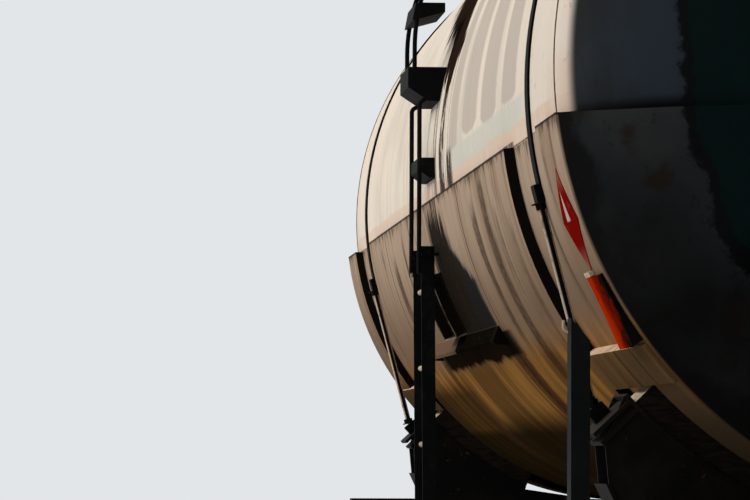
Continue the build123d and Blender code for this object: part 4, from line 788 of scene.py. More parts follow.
@dataclass(frozen=True)
class ShellPaint:
    """Weathered cream paint of the tank's upper half and its slate heads with a green disc, the heads dark partly as
    painted shade.
    """

    tones: FlankTones
    cream: Colour = (0.800, 0.695, 0.580)
    chalk: Colour = (0.600, 0.595, 0.510)
    grey: Colour = (0.560, 0.490, 0.415)
    margin: Colour = (0.740, 0.550, 0.425)
    patch: Colour = (0.500, 0.435, 0.370)
    oil: Colour = (0.020, 0.012, 0.008)
    stain: Colour = (0.200, 0.120, 0.070)
    seam: Colour = (0.060, 0.030, 0.016)
    head: Colour = (0.022, 0.029, 0.038)
    head_dirt: Colour = (0.015, 0.016, 0.016)
    head_x: float = 4.80
    margin_phi: float = -4.1
    patches: tuple[PaintedOverPatch, ...] = (
        PaintedOverPatch(2.97, 3.44, -0.5),
        PaintedOverPatch(2.20, 2.76, -1.0),
        PaintedOverPatch(1.44, 2.02, -0.3),
        PaintedOverPatch(0.86, 1.22, -1.0),
    )

    def material(self, form: TankForm) -> bpy.types.Material:
        """Material of the tank's shell.

        Args:
            form: Radii and axis of the tank.

        Returns:
            The material.
        """
        graph = TankGraph("shell_paint", form)
        fine = graph.runs(22.0, 0.7, 6.0, 0.65)
        wide = graph.runs(2.6, 0.5, 4.0, 0.5, 11.0)
        spots = graph.noise(graph.place, 26.0, 6.0, 0.7)
        cloud = graph.noise(graph.place, 1.6, 5.0, 0.6)
        soiled = graph.linear(graph.math("ABSOLUTE", graph.x), 3.0, 3.4, 1.0, 0.25)
        colour = graph.mix(graph.product(graph.smooth(wide, 0.46, 0.66), soiled, 0.40), self.cream, self.chalk)
        colour = graph.mix(graph.product(graph.smooth(cloud, 0.48, 0.66), soiled, 0.40), colour, self.grey)
        colour = graph.mix(graph.product(graph.smooth(fine, 0.48, 0.64), soiled, 0.40), colour, self.grey)
        colour = graph.mix(graph.product(graph.smooth(fine, 0.60, 0.72), soiled, 0.45), colour, self.stain)
        colour = graph.mix(graph.product(self._patches(graph), 0.85), colour, self.patch)
        zone = graph.product(graph.band(graph.x, 1.0, 3.7, 0.3), graph.band(graph.phi, -4.6, -0.6, 0.5))
        colour = graph.mix(graph.product(zone, 0.75), colour, self.chalk)
        colour = graph.mix(self._margin(graph), colour, self.margin)
        colour = graph.mix(graph.product(graph.smooth(spots, 0.62, 0.70), 0.40), colour, self.stain)
        low = graph.smooth(graph.phi, self.tones.seam_phi + 0.15, self.tones.seam_phi - 0.25)
        colour = graph.mix(low, colour, self.tones.colour(graph))
        seam = graph.product(self._seam(graph), graph.linear(fine, 0.35, 0.6, 0.35, 0.95))
        colour = graph.mix(seam, colour, self.seam)
        spill = self._spill(graph)
        colour = graph.mix(spill, colour, self.oil)
        # the heads' dark slate is partly painted shade
        head = graph.smooth(graph.math("ABSOLUTE", graph.x), self.head_x - 0.05, self.head_x + 0.02)
        colour = graph.mix(head, colour, self._head_colour(graph))
        colour = head_disc(graph, colour)
        height = graph.math("ADD", graph.math("MULTIPLY", graph.noise(graph.place, 1.1, 3.0), 0.7), graph.product(spots, 0.05))
        gloss = graph.linear(spill, 0.0, 1.0, 0.05, 0.0)
        return graph.surface(colour, graph.linear(fine, 0.3, 0.8, 0.72, 0.88), 0.0, graph.bump(height, 0.012, 0.5), gloss)

    def _seam(self, graph: TankGraph) -> Value:
        """Mask of the dark line above the seam, wider where the jacket hides its lower part."""
        reach = graph.math("ABSOLUTE", graph.x)
        width = graph.linear(reach, 3.290, 3.295, 0.90, 0.20)
        top = graph.math("SUBTRACT", graph.phi, width)
        seam = self.tones.seam_phi
        return graph.product(graph.smooth(graph.phi, seam - 0.10, seam), graph.smooth(top, seam + 0.05, seam - 0.05))

    def _margin(self, graph: TankGraph) -> Value:
        """Mask of the pink border above the seam, brushed on unevenly."""
        wobble = graph.math("MULTIPLY", graph.math("SUBTRACT", graph.noise(graph.place, 3.0, 4.0), 0.5), 1.6)
        lower = graph.math("ADD", graph.phi, wobble)
        front = graph.smooth(graph.math("ABSOLUTE", graph.x), 4.25, 4.75)
        return graph.product(
            graph.most(
                graph.smooth(lower, self.margin_phi + 0.25, self.margin_phi - 0.35),
                graph.product(front, graph.smooth(lower, 2.5, -2.0), 0.8),
            ),
            graph.linear(graph.runs(9.0, 1.5, 5.0, 0.65, 41.0), 0.35, 0.62, 1.0, 0.60),
        )

    def _patches(self, graph: TankGraph) -> Value:
        """Mask of the grey patches, which end in round corners and fade towards the top."""
        mask: Value = 0.0
        for patch in self.patches:
            middle = (patch.start + patch.end) / 2
            offset = graph.math("ABSOLUTE", graph.math("SUBTRACT", graph.x, middle))
            corner = graph.math("MULTIPLY", graph.math("POWER", offset, 3.0), 55.0)
            low = graph.math("SUBTRACT", graph.phi, corner)
            one = graph.product(
                graph.band(graph.x, patch.start, patch.end, 0.04),
                graph.smooth(low, patch.low_phi - 0.2, patch.low_phi + 0.5),
                graph.smooth(graph.phi, 52.0, 28.0),
            )
            mask = graph.most(mask, one)
        return mask

    def _spill(self, graph: TankGraph) -> Value:
        """Mask of the oil that ran down from the hatch, wide at the top and in threads below."""
        ragged = graph.math("MULTIPLY", graph.math("SUBTRACT", graph.runs(16.0, 1.7, 6.0, 0.75, 5.0), 0.5), 0.42)
        place = graph.math("ADD", graph.x, ragged)
        bulge = graph.math("ABSOLUTE", graph.math("SUBTRACT", graph.phi, 17.5))
        right = graph.math("MAXIMUM", graph.math("SUBTRACT", 0.82, graph.product(bulge, 0.028)), 0.50)
        right = graph.math("ADD", right, graph.linear(graph.phi, 31.0, 46.0, 0.0, 0.42))
        low = self._spill_edge(graph)
        fringe = graph.math("MULTIPLY", graph.math("SUBTRACT", graph.runs(9.0, 0.0, 6.0, 0.60, 71.0), 0.5), 20.0)
        drift = graph.math("MULTIPLY", graph.math("SUBTRACT", graph.noise(graph.place, 3.5, 5.0, 0.65), 0.5), 7.0)
        fringe = graph.math("ADD", fringe, drift)
        broad = graph.product(
            graph.smooth(graph.math("SUBTRACT", place, graph.linear(graph.phi, 30.0, 52.0, -1.25, -0.68)), -0.05, 0.05),
            graph.smooth(graph.math("SUBTRACT", right, place), -0.02, 0.03),
            graph.smooth(graph.math("SUBTRACT", graph.math("ADD", graph.phi, fringe), low), -0.5, 0.9),
        )
        thread = graph.runs(26.0, 0.55, 6.0, 0.75, 21.0)
        blots = graph.runs(14.0, 5.0, 5.0, 0.75, 33.0)
        heavy = graph.most(
            graph.product(graph.band(place, 0.42, 0.60, 0.03), graph.smooth(blots, 0.42, 0.48)),
            graph.product(graph.band(place, 0.74, 0.97, 0.03), graph.smooth(graph.phi, 0.5, -1.5), graph.smooth(blots, 0.36, 0.44)),
        )
        threads = graph.product(
            graph.most(graph.smooth(thread, 0.545, 0.59), heavy),
            graph.band(graph.x, -0.10, 1.0, 0.12),
            graph.smooth(graph.phi, 26.0, 9.0),
        )
        beside = graph.product(
            graph.smooth(graph.runs(34.0, 0.7, 5.0, 0.75, 31.0), 0.57, 0.63),
            graph.band(graph.x, -0.65, 0.20, 0.15),
            graph.smooth(graph.phi, 6.0, 0.0),
        )
        reach = graph.math("ADD", graph.math("ABSOLUTE", graph.x), graph.math("ABSOLUTE", ragged))
        top = graph.product(graph.smooth(graph.phi, 44.0, 62.0), graph.smooth(reach, 1.15, 0.80))
        return graph.most(broad, graph.product(threads, 0.94), graph.product(beside, 0.88), top)

    def _spill_edge(self, graph: TankGraph) -> Value:
        """Angle at which the spill ends, for each place along the car."""
        edge: Value = 33.5
        for start, end, drop in ((-1.2, -0.44, 9.8), (-0.44, 0.12, 3.7), (0.10, 0.17, 5.5), (0.17, 0.55, 7.0), (0.60, 0.82, -6.0)):
            edge = graph.math("SUBTRACT", edge, graph.linear(graph.x, start, end, 0.0, drop))
        return edge

    def _head_colour(self, graph: TankGraph) -> Value:
        """Slate head, dark partly as painted shade, with dirt that ran down it and a painted shadow line above the
        lower cover.
        """
        cloud = graph.noise(graph.place, 1.4, 5.0, 0.6)
        _, y, z = graph.separate(graph.place)
        tears = graph.noise(graph.combine(graph.math("MULTIPLY", y, 9.0), graph.math("MULTIPLY", z, 0.8), 4.0), 1.0, 5.0)
        colour = graph.mix(graph.smooth(cloud, 0.38, 0.66), self.head, self.head_dirt)
        colour = graph.mix(graph.product(graph.smooth(tears, 0.55, 0.72), 0.7), colour, self.head_dirt)
        # painted shadow: a near-black band just above the lower cover's top edge
        grime = graph.smooth(graph.math("ADD", z, graph.product(cloud, 0.05)), 2.70, 2.655)
        return graph.mix(grime, colour, (0.0015, 0.0015, 0.0015))


def head_disc(graph: TankGraph, colour: Value) -> Value:
    """Put the dark green disc with its ragged black rim over a head's colour, both near black partly as painted shade.

    Args:
        graph: Graph of the material.
        colour: Colour of the head.

    Returns:
        The colour's socket.
    """
    green: Colour = (0.0012, 0.0075, 0.0066)
    black: Colour = (0.0030, 0.0032, 0.0035)
    ragged = graph.math("MULTIPLY", graph.math("SUBTRACT", graph.noise(graph.place, 4.5, 6.0, 0.7), 0.5), 0.20)
    reach = graph.math("ADD", graph.radius, ragged)
    front = graph.smooth(graph.math("ABSOLUTE", graph.x), 4.84, 4.86)
    colour = graph.mix(graph.product(front, graph.smooth(reach, 1.185, 1.165)), colour, black)
    worn = graph.noise(graph.place, 2.2, 5.0, 0.6)
    inner = graph.product(front, graph.smooth(reach, 1.145, 1.125), graph.linear(worn, 0.35, 0.65, 1.0, 0.6))
    return graph.mix(inner, colour, green)


@dataclass(frozen=True)
class JacketPaint:
    """Dusty tan paint of the steam jacket, with runs of oil and rust down its flanks, and painted light and shade: a
    shadow under the shelf, lit ledge tops, shaded end faces and head covers, and a sheen on the oil.
    """

    tones: FlankTones
    oil: Colour = (0.0050, 0.0040, 0.0026)
    splash: Colour = (0.040, 0.021, 0.011)
    drip: Colour = (0.050, 0.022, 0.010)
    slick: Colour = (0.0062, 0.0076, 0.0082)
    # painted sheen: a blue-grey reflection on the oil, laid on as colour
    sheen: Colour = (0.085, 0.095, 0.105)
    lit: Colour = (0.110, 0.070, 0.038)
    cream: Colour = (0.840, 0.600, 0.420)
    cover: Colour = (0.034, 0.034, 0.032)
    cover_slate: Colour = (0.017, 0.019, 0.021)
    cover_black: Colour = (0.0060, 0.0058, 0.0054)
    cover_rust: Colour = (0.017, 0.0095, 0.0050)
    # dark of the joints between sheets, and painted shade on faces that look along the car
    gap_and_end_shade: Colour = (0.006, 0.005, 0.004)
    cover_x: float = 4.884
    joints: tuple[float, ...] = (1.42, -0.95, -2.30)
    drips: tuple[Run, ...] = (
        Run(1.93, 0.09, -11.0, -36.0, 0.95),
        Run(2.36, 0.15, -7.6, -45.0, 0.95),
        Run(2.66, 0.06, -13.0, -29.0, 0.6),
        Run(3.02, 0.07, -16.0, -40.0, 0.55),
        # painted shadow: the shelf's right end casts this dark band; it is not a run of liquid
        Run(1.42, 0.30, -30.5, -66.0, 0.97),
        Run(-1.39, 0.08, -10.0, -22.0, 0.9),
        Run(-1.98, 0.14, -13.0, -28.0, 0.95),
        Run(-1.66, 0.20, -31.0, -58.0, 0.90),
        Run(-2.60, 0.06, -9.0, -18.0, 0.6),
        Run(4.05, 0.06, -9.0, -22.0, 0.6),
        Run(4.42, 0.05, -9.0, -19.0, 0.6),
    )

    def material(self, form: TankForm) -> bpy.types.Material:
        """Material of the jacket's sheets.

        Args:
            form: Radii and axis of the tank.

        Returns:
            The material.
        """
        graph = TankGraph("jacket_paint", form)
        grit = graph.noise(graph.place, 30.0, 6.0, 0.7)
        colour = self.tones.colour(graph)
        ends = graph.product(graph.smooth(graph.math("ABSOLUTE", graph.x), 3.2, 3.4), graph.smooth(graph.phi, -34.0, -38.5))
        colour = graph.mix(graph.product(ends, 0.7), colour, (0.080, 0.052, 0.030))
        colour = graph.mix(graph.product(self._drips(graph, grit), 0.92), colour, self.drip)
        oil, sheen = self._oil(graph)
        wet = graph.mix(graph.smooth(grit, 0.56, 0.66), self.oil, self.splash)
        wet = graph.mix(graph.product(graph.smooth(graph.x, 0.72, 0.95), 0.85), wet, self.slick)
        colour = graph.mix(oil, colour, wet)
        colour = graph.mix(sheen, colour, self.sheen)
        colour = graph.mix(self._joints(graph), colour, self.gap_and_end_shade)
        # drip shelf's colour, with painted light on its top and its painted shadow below
        colour, below = self._shelf(graph, form, colour, grit)
        # painted light: pale cream on the ledges' upward faces
        colour = graph.mix(self._lit_ledge_tops(graph, form), colour, self.cream)
        reach = graph.math("ABSOLUTE", graph.x)
        front = graph.smooth(reach, self.cover_x - 0.004, self.cover_x + 0.004)
        colour = graph.mix(front, colour, head_disc(graph, self._cover_colour(graph)))
        # painted shade on the jacket's faces that look along the car
        colour = graph.mix(self._end_face_shade(graph), colour, self.gap_and_end_shade)
        dents = graph.math("MULTIPLY", graph.noise(graph.place, 1.6, 3.0, 0.5), 0.8)
        height = graph.math("ADD", dents, graph.product(grit, 0.05))
        rough = graph.math("SUBTRACT", graph.linear(grit, 0.3, 0.7, 0.72, 0.88), graph.product(oil, 0.20))
        dull = graph.most(oil, below, graph.smooth(graph.phi, -29.0, -36.0))
        gloss = graph.linear(dull, 0.0, 1.0, 0.04, 0.0)
        return graph.surface(colour, rough, 0.0, graph.bump(height, 0.014, 0.6), gloss)

    def _drips(self, graph: TankGraph, grit: Value) -> Value:
        """Mask of the single dark runs."""
        wander = graph.math("MULTIPLY", graph.math("SUBTRACT", graph.runs(9.0, 1.6, 6.0, 0.75, 13.0), 0.5), 0.34)
        place = graph.math("ADD", graph.x, wander)
        mask: Value = 0.0
        for drip in self.drips:
            offset = graph.math("ABSOLUTE", graph.math("SUBTRACT", place, drip.x))
            one = graph.product(
                graph.smooth(offset, drip.width, drip.width * 0.30),
                graph.smooth(graph.phi, drip.top_phi + 1.5, drip.top_phi - 3.5),
                graph.smooth(graph.phi, drip.low_phi - 4.0, drip.low_phi + 8.0),
                drip.strength,
            )
            mask = graph.most(mask, one)
        return graph.product(mask, graph.linear(grit, 0.35, 0.55, 0.6, 1.0))

    def _oil(self, graph: TankGraph) -> tuple[Value, Value]:
        """Masks of the oil beside the ladder and of the painted blue-grey sheen at its edge, a reflection laid on as
        colour.
        """
        ragged = graph.math("MULTIPLY", graph.math("SUBTRACT", graph.runs(14.0, 1.2, 6.0, 0.75, 9.0), 0.5), 0.50)
        place = graph.math("ADD", graph.x, ragged)
        widen = graph.math("ADD", graph.linear(graph.phi, -8.0, -16.0, 0.64, 0.80), graph.linear(graph.phi, -16.0, -22.0, 0.0, 0.50))
        right = graph.smooth(graph.math("SUBTRACT", place, widen), 0.05, -0.08)
        left = graph.smooth(place, -0.12, 0.10)
        reach = graph.smooth(graph.phi, -31.0, -29.5)
        dense = graph.math("SUBTRACT", graph.runs(24.0, 0.30, 5.0, 0.7, 43.0), graph.linear(graph.phi, -7.2, -14.5, 0.58, 0.30))
        oil = graph.product(right, left, reach, graph.smooth(dense, -0.02, 0.03), 0.97)
        # painted reflection: blue-grey sheen along the oil's edge
        painted_sheen = graph.product(
            graph.band(graph.math("SUBTRACT", graph.x, widen), -0.03, 0.08, 0.06),
            graph.band(graph.phi, -26.0, -10.5, 4.0),
            0.22,
        )
        return oil, painted_sheen

    def _lit_ledge_tops(self, graph: TankGraph, form: TankForm) -> Value:
        """Mask of the ledges' upward faces beside the window, pale as painted light from above."""
        normal = graph.tree.nodes.new("ShaderNodeNewGeometry").outputs["True Normal"]
        _, _, upward = graph.separate(normal)
        patchy_light = graph.linear(graph.noise(graph.place, 16.0, 5.0, 0.7), 0.35, 0.65, 1.0, 0.55)
        outside = graph.smooth(graph.radius, form.radius - 0.004, form.radius + 0.004)
        return graph.product(
            graph.smooth(upward, 0.35, 0.55),
            graph.smooth(graph.phi, -33.0, -35.0),
            graph.band(graph.math("ABSOLUTE", graph.x), 3.2, 4.87, 0.01),
            outside,
            patchy_light,
        )

    def _joints(self, graph: TankGraph) -> Value:
        """Mask of the thin gaps between the jacket's sheets and of the dark line along their top edge."""
        mask: Value = 0.0
        for joint in self.joints:
            offset = graph.math("ABSOLUTE", graph.math("SUBTRACT", graph.x, joint))
            mask = graph.most(mask, graph.smooth(offset, 0.014, 0.006))
        frayed = graph.math("ADD", graph.phi, graph.product(graph.runs(30.0, 0.0, 5.0, 0.7, 61.0), 0.55))
        edge = graph.smooth(frayed, self.tones.seam_phi - 0.12, self.tones.seam_phi + 0.03)
        return graph.most(mask, graph.product(edge, 0.85))

    def _shelf(self, graph: TankGraph, form: TankForm, colour: Value, grit: Value) -> tuple[Value, Value]:
        """Colour of the drip shelf, black with oil at its right and golden at its left, the gold partly painted light;
        with the painted shadow under it laid on in oil-black, and the mask of that shadow and the black top.
        """
        streaks = graph.runs(20.0, 1.0, 6.0, 0.7, 51.0)
        # golden left part of the shelf's top: wear, and painted light
        worn = graph.mix(graph.smooth(streaks, 0.42, 0.60), self.lit, self.tones.stain)
        black = graph.mix(graph.smooth(grit, 0.60, 0.68), self.oil, self.splash)
        # painted sheen on the black top towards its right end
        black_with_sheen = graph.mix(graph.product(graph.smooth(graph.x, 1.15, 1.40), 0.05), black, self.sheen)
        dark = graph.smooth(graph.math("ADD", graph.x, graph.math("SUBTRACT", streaks, 0.5)), -0.55, -0.25)
        top = graph.mix(dark, worn, black_with_sheen)
        outside = graph.smooth(graph.radius, form.jacket_radius + 0.0015, form.jacket_radius + 0.0035)
        near = graph.smooth(graph.math("ABSOLUTE", graph.x), 2.2, 2.0)
        colour = graph.mix(graph.product(outside, near), colour, top)
        # painted shadow: the band under the shelf, down to about -35 degrees, is the shelf's cast shadow laid on in
        # oil-black
        fringe = graph.math("ADD", graph.phi, graph.product(graph.math("SUBTRACT", graph.noise(graph.place, 4.0, 4.0, 0.55), 0.5), 3.0))
        below = graph.product(
            graph.smooth(fringe, -35.9, -34.9),
            graph.smooth(graph.phi, -30.6, -31.0),
            graph.smooth(graph.math("ABSOLUTE", graph.x), 1.75, 1.45),
            graph.smooth(graph.radius, form.jacket_radius + 0.005, form.jacket_radius + 0.003),
        )
        return graph.mix(graph.product(below, 0.96), colour, self.oil), graph.most(below, graph.product(outside, near, dark))

    def _cover_colour(self, graph: TankGraph) -> Value:
        """Blotched charcoal cover over the lower half of a head, its dark tones partly painted shade, darker towards
        the bottom and blackest at its outer edge.
        """
        cloud = graph.noise(graph.place, 1.9, 6.0, 0.66)
        rust = graph.noise(graph.place, 3.3, 5.0, 0.6, 0.4)
        pits = graph.noise(graph.place, 11.0, 6.0, 0.75)
        broad = graph.noise(graph.place, 0.9, 4.0, 0.55, 0.2)
        # the cover's dark tones are partly painted shade
        bluish = graph.mix(graph.smooth(broad, 0.42, 0.58), self.cover, self.cover_slate)
        colour = graph.mix(graph.smooth(cloud, 0.35, 0.50), self.cover_black, bluish)
        colour = graph.mix(graph.product(graph.smooth(rust, 0.54, 0.64), 0.85), colour, self.cover_rust)
        colour = graph.mix(graph.product(graph.smooth(pits, 0.58, 0.66), 0.70), colour, self.cover_black)
        lower = graph.product(graph.smooth(graph.phi, -7.0, -27.0), graph.smooth(graph.radius, 1.05, 1.35), 0.80)
        colour = graph.mix(lower, colour, self.cover_black)
        rim = graph.smooth(graph.math("ADD", graph.radius, graph.product(cloud, 0.45)), 1.70, 1.76)
        return graph.mix(graph.product(rim, 0.9), colour, self.cover_black)

    def _end_face_shade(self, graph: TankGraph) -> Value:
        """Mask of the faces that look along the car, painted dark as shade."""
        normal = graph.tree.nodes.new("ShaderNodeNewGeometry").outputs["True Normal"]
        along, _, _ = graph.separate(normal)
        inside = graph.smooth(graph.math("ABSOLUTE", graph.x), self.cover_x - 0.2, self.cover_x - 0.3)
        return graph.product(graph.smooth(graph.math("ABSOLUTE", along), 0.85, 0.95), inside)


@dataclass(frozen=True)
class StrapPaint:
    """Black band over the tank, black partly as painted shade, with its straight rods pale bare steel except for
    painted shade on faces that look along the car.
    """

    # black band: black paint, and painted shade of its edge and shadow
    black: Colour = (0.0030, 0.0032, 0.0032)
    steel: Colour = (0.56, 0.44, 0.33)
    rust: Colour = (0.20, 0.115, 0.065)
    rod_phi: float = -16.0
    foot_phi: float = -40.6

    def material(self, form: TankForm) -> bpy.types.Material:
        """Material of the straps."""
        graph = TankGraph("strap_paint", form)
        cloud = graph.noise(graph.place, 12.0, 6.0, 0.7)
        normal = graph.tree.nodes.new("ShaderNodeNewGeometry").outputs["Normal"]
        along, _, _ = graph.separate(normal)
        # rods pale where worn and lit; painted shade left black on faces that look along the car
        lit_and_worn_faces = graph.smooth(graph.math("ABSOLUTE", along), 0.93, 0.72)
        rod = graph.product(graph.band(graph.phi, self.foot_phi, self.rod_phi, 0.15), lit_and_worn_faces)
        worn = graph.mix(graph.smooth(cloud, 0.50, 0.68), self.steel, self.rust)
        colour = graph.mix(rod, self.black, worn)
        return graph.surface(colour, 0.7, 0.0, graph.bump(cloud, 0.001, 0.6), 0.03)


@dataclass(frozen=True)
class DripBoxPaint:
    """Black, oily ribs whose outer rims are pale: bare metal, and a painted highlight of their lit edges."""

    black: Colour = (0.0060, 0.0050, 0.0035)
    rim: Colour = (0.34, 0.26, 0.17)
    rise: float = 0.045

    def material(self, form: TankForm) -> bpy.types.Material:
        """Material of the drip boxes."""
        graph = TankGraph("drip_box_paint", form)
        cloud = graph.noise(graph.place, 14.0, 6.0, 0.7)
        start = form.jacket_radius + self.rise
        # pale rims: bare metal, and painted highlight of lit edges
        worn = graph.product(graph.smooth(graph.radius, start, start + 0.003), graph.linear(cloud, 0.40, 0.60, 1.0, 0.2))
        colour = graph.mix(worn, self.black, self.rim)
        return graph.surface(colour, 0.7, 0.0, graph.bump(cloud, 0.0012, 0.6), 0.05)


@dataclass(frozen=True)
class LadderPaint:
    """Black paint of the side ladders, with pale rungs: boot wear, and painted sunlight on them."""

    black: Colour = (0.0030, 0.0034, 0.0034)
    dust: Colour = (0.016, 0.013, 0.011)
    worn: Colour = (0.62, 0.50, 0.39)
    half_width: float = 0.190
    rungs_below: float = 2.33

    def material(self) -> bpy.types.Material:
        """Material of the ladders."""
        graph = Graph("ladder_paint")
        place = graph.position()
        x, _, z = graph.separate(place)
        cloud = graph.noise(place, 12.0, 6.0, 0.7)
        colour = graph.mix(graph.product(graph.smooth(cloud, 0.48, 0.70), 0.6), self.black, self.dust)
        # pale rungs: bare from boots, and painted highlight of sunlit rungs
        tread = graph.product(
            graph.smooth(graph.math("ABSOLUTE", x), self.half_width + 0.004, self.half_width),
            graph.smooth(z, self.rungs_below, self.rungs_below - 0.01),
            graph.linear(cloud, 0.40, 0.66, 1.0, 0.35),
        )
        colour = graph.mix(tread, colour, self.worn)
        return graph.surface(colour, 0.7, 0.0, graph.bump(cloud, 0.0012, 0.6), 0.05)


@dataclass(frozen=True)
class WeatheredPaint:
    """Old paint on steel, with dust on top and rust where it has chipped."""

    name: str
    paint: Colour
    dust: Colour
    rust: Colour = (0.085, 0.038, 0.018)
    rust_share: float = 0.45
    dust_share: float = 0.35
    roughness: float = 0.6
    grain: float = 9.0

    def material(self) -> bpy.types.Material:
        """Material of painted steel."""
        graph = Graph(self.name)
        place = graph.position()
        cloud = graph.noise(place, self.grain * 0.35, 5.0, 0.6)
        chips = graph.noise(place, self.grain * 2.2, 7.0, 0.72, 0.3)
        grain = graph.noise(place, self.grain * 9.0, 3.0, 0.6)
        normal = graph.tree.nodes.new("ShaderNodeNewGeometry").outputs["Normal"]
        _, _, upward = graph.separate(normal)
        settled = graph.product(graph.smooth(upward, 0.2, 0.95), 0.8)
        colour = graph.mix(graph.product(graph.smooth(cloud, 0.42, 0.72), self.dust_share), self.paint, self.dust)
        flaked = graph.smooth(chips, 0.66 - 0.2 * self.rust_share, 0.72 - 0.2 * self.rust_share)
        colour = graph.mix(graph.product(flaked, 0.85), colour, self.rust)
        colour = graph.mix(graph.product(settled, self.dust_share * 1.4), colour, self.dust)
        height = graph.math("SUBTRACT", graph.product(grain, 0.3), graph.product(flaked, 0.5))
        rough = graph.linear(cloud, 0.3, 0.7, self.roughness - 0.08, self.roughness + 0.15)
        return graph.surface(colour, rough, 0.0, graph.bump(height, 0.0025, 0.7), 0.035)


@dataclass(frozen=True)
class CastSteel:
    """Unpainted casting under brown dust and brake grime."""

    name: str = "cast_steel"
    scale: Colour = (0.036, 0.026, 0.020)
    dust: Colour = (0.095, 0.066, 0.045)
    grease: Colour = (0.009, 0.008, 0.007)

    def material(self) -> bpy.types.Material:
        """Material of the castings."""
        graph = Graph(self.name)
        place = graph.position()
        cloud = graph.noise(place, 3.5, 6.0, 0.65)
        sand = graph.noise(place, 90.0, 3.0, 0.6)
        damp = graph.noise(place, 2.1, 4.0, 0.6, 0.5)
        colour = graph.mix(graph.smooth(cloud, 0.40, 0.66), self.scale, self.dust)
        colour = graph.mix(graph.product(graph.smooth(damp, 0.54, 0.68), 0.8), colour, self.grease)
        rough = graph.linear(damp, 0.45, 0.70, 0.80, 0.45)
        height = graph.math("ADD", graph.product(sand, 0.4), graph.product(cloud, 0.6))
        return graph.surface(colour, rough, 0.15, graph.bump(height, 0.004, 0.7), 0.4)


@dataclass(frozen=True)
class WheelSteel:
    """Rolled wheels: a bright running band on the tread, dark brown elsewhere."""

    axle_z: float
    tread_radius: float
    inner_y: float

    def material(self) -> bpy.types.Material:
        """Material of the wheels."""
        graph = Graph("wheel_steel")
        place = graph.position()
        x, y, z = graph.separate(place)
        cloud = graph.noise(place, 5.0, 6.0, 0.65)
        sand = graph.noise(place, 80.0, 3.0, 0.6)
        normal = graph.tree.nodes.new("ShaderNodeNewGeometry").outputs["True Normal"]
        _, sideways, _ = graph.separate(normal)
        reach = graph.math("ABSOLUTE", y)
        face = graph.smooth(graph.math("ABSOLUTE", sideways), 0.35, 0.15)
        worn = graph.product(face, graph.band(reach, self.inner_y + 0.012, self.inner_y + 0.115, 0.008))
        hub = graph.smooth(reach, self.inner_y - 0.03, self.inner_y - 0.01)
        worn = graph.product(worn, hub, graph.smooth(cloud, 0.2, 0.35))
        brown = graph.mix(graph.smooth(cloud, 0.40, 0.68), (0.026, 0.018, 0.013), (0.085, 0.050, 0.030))
        colour = graph.mix(worn, brown, (0.42, 0.41, 0.40))
        rough = graph.linear(worn, 0.0, 1.0, 0.72, 0.28)
        return graph.surface(colour, rough, worn, graph.bump(sand, 0.0015, 0.5), 0.4)


@dataclass(frozen=True)
class Timber:
    """Oak of the saddle blocks: black with old oil and painted shade on its faces, paler on its upward faces as painted
    light.
    """

    light: Colour = (0.020, 0.013, 0.009)
    dark: Colour = (0.006, 0.004, 0.003)
    end: Colour = (0.66, 0.50, 0.38)
    end_dark: Colour = (0.26, 0.17, 0.11)

    def material(self) -> bpy.types.Material:
        """Material of the blocks."""
        graph = Graph("oak_block")
        x, y, z = graph.separate(graph.position())
        drawn = graph.combine(graph.math("MULTIPLY", x, 3.0), graph.math("MULTIPLY", y, 14.0), graph.math("MULTIPLY", z, 70.0))
        grain = graph.noise(drawn, 1.0, 5.0, 0.65, 0.3)
        colour = graph.mix(graph.smooth(grain, 0.38, 0.66), self.light, self.dark)
        normal = graph.tree.nodes.new("ShaderNodeNewGeometry").outputs["True Normal"]
        along, _, upward = graph.separate(normal)
        # painted light on upward faces; the rest stays black as painted shade and old oil
        cut = graph.product(graph.smooth(graph.math("ABSOLUTE", along), 0.6, 0.4), graph.smooth(upward, 0.1, 0.3))
        lit_grain = graph.mix(graph.smooth(grain, 0.50, 0.70), self.end, self.end_dark)
        colour = graph.mix(cut, colour, lit_grain)
        return graph.surface(colour, 0.8, 0.0, graph.bump(grain, 0.003, 0.8), 0.1)


@dataclass(frozen=True)
class BareSteel:
    """Plain worn steel of rods, pins and nuts."""

    name: str = "bare_steel"
    steel: Colour = (0.33, 0.30, 0.27)
    rust: Colour = (0.13, 0.065, 0.035)

    def material(self) -> bpy.types.Material:
        """Material of worn steel."""
        graph = Graph(self.name)
        place = graph.position()
        cloud = graph.noise(place, 14.0, 6.0, 0.7)
        rusty = graph.smooth(cloud, 0.45, 0.62)
        colour = graph.mix(rusty, self.steel, self.rust)
        metal = graph.linear(rusty, 0.0, 1.0, 0.75, 0.05)
        rough = graph.linear(rusty, 0.0, 1.0, 0.42, 0.80)
        return graph.surface(colour, rough, metal, graph.bump(cloud, 0.0015, 0.6), 0.5)


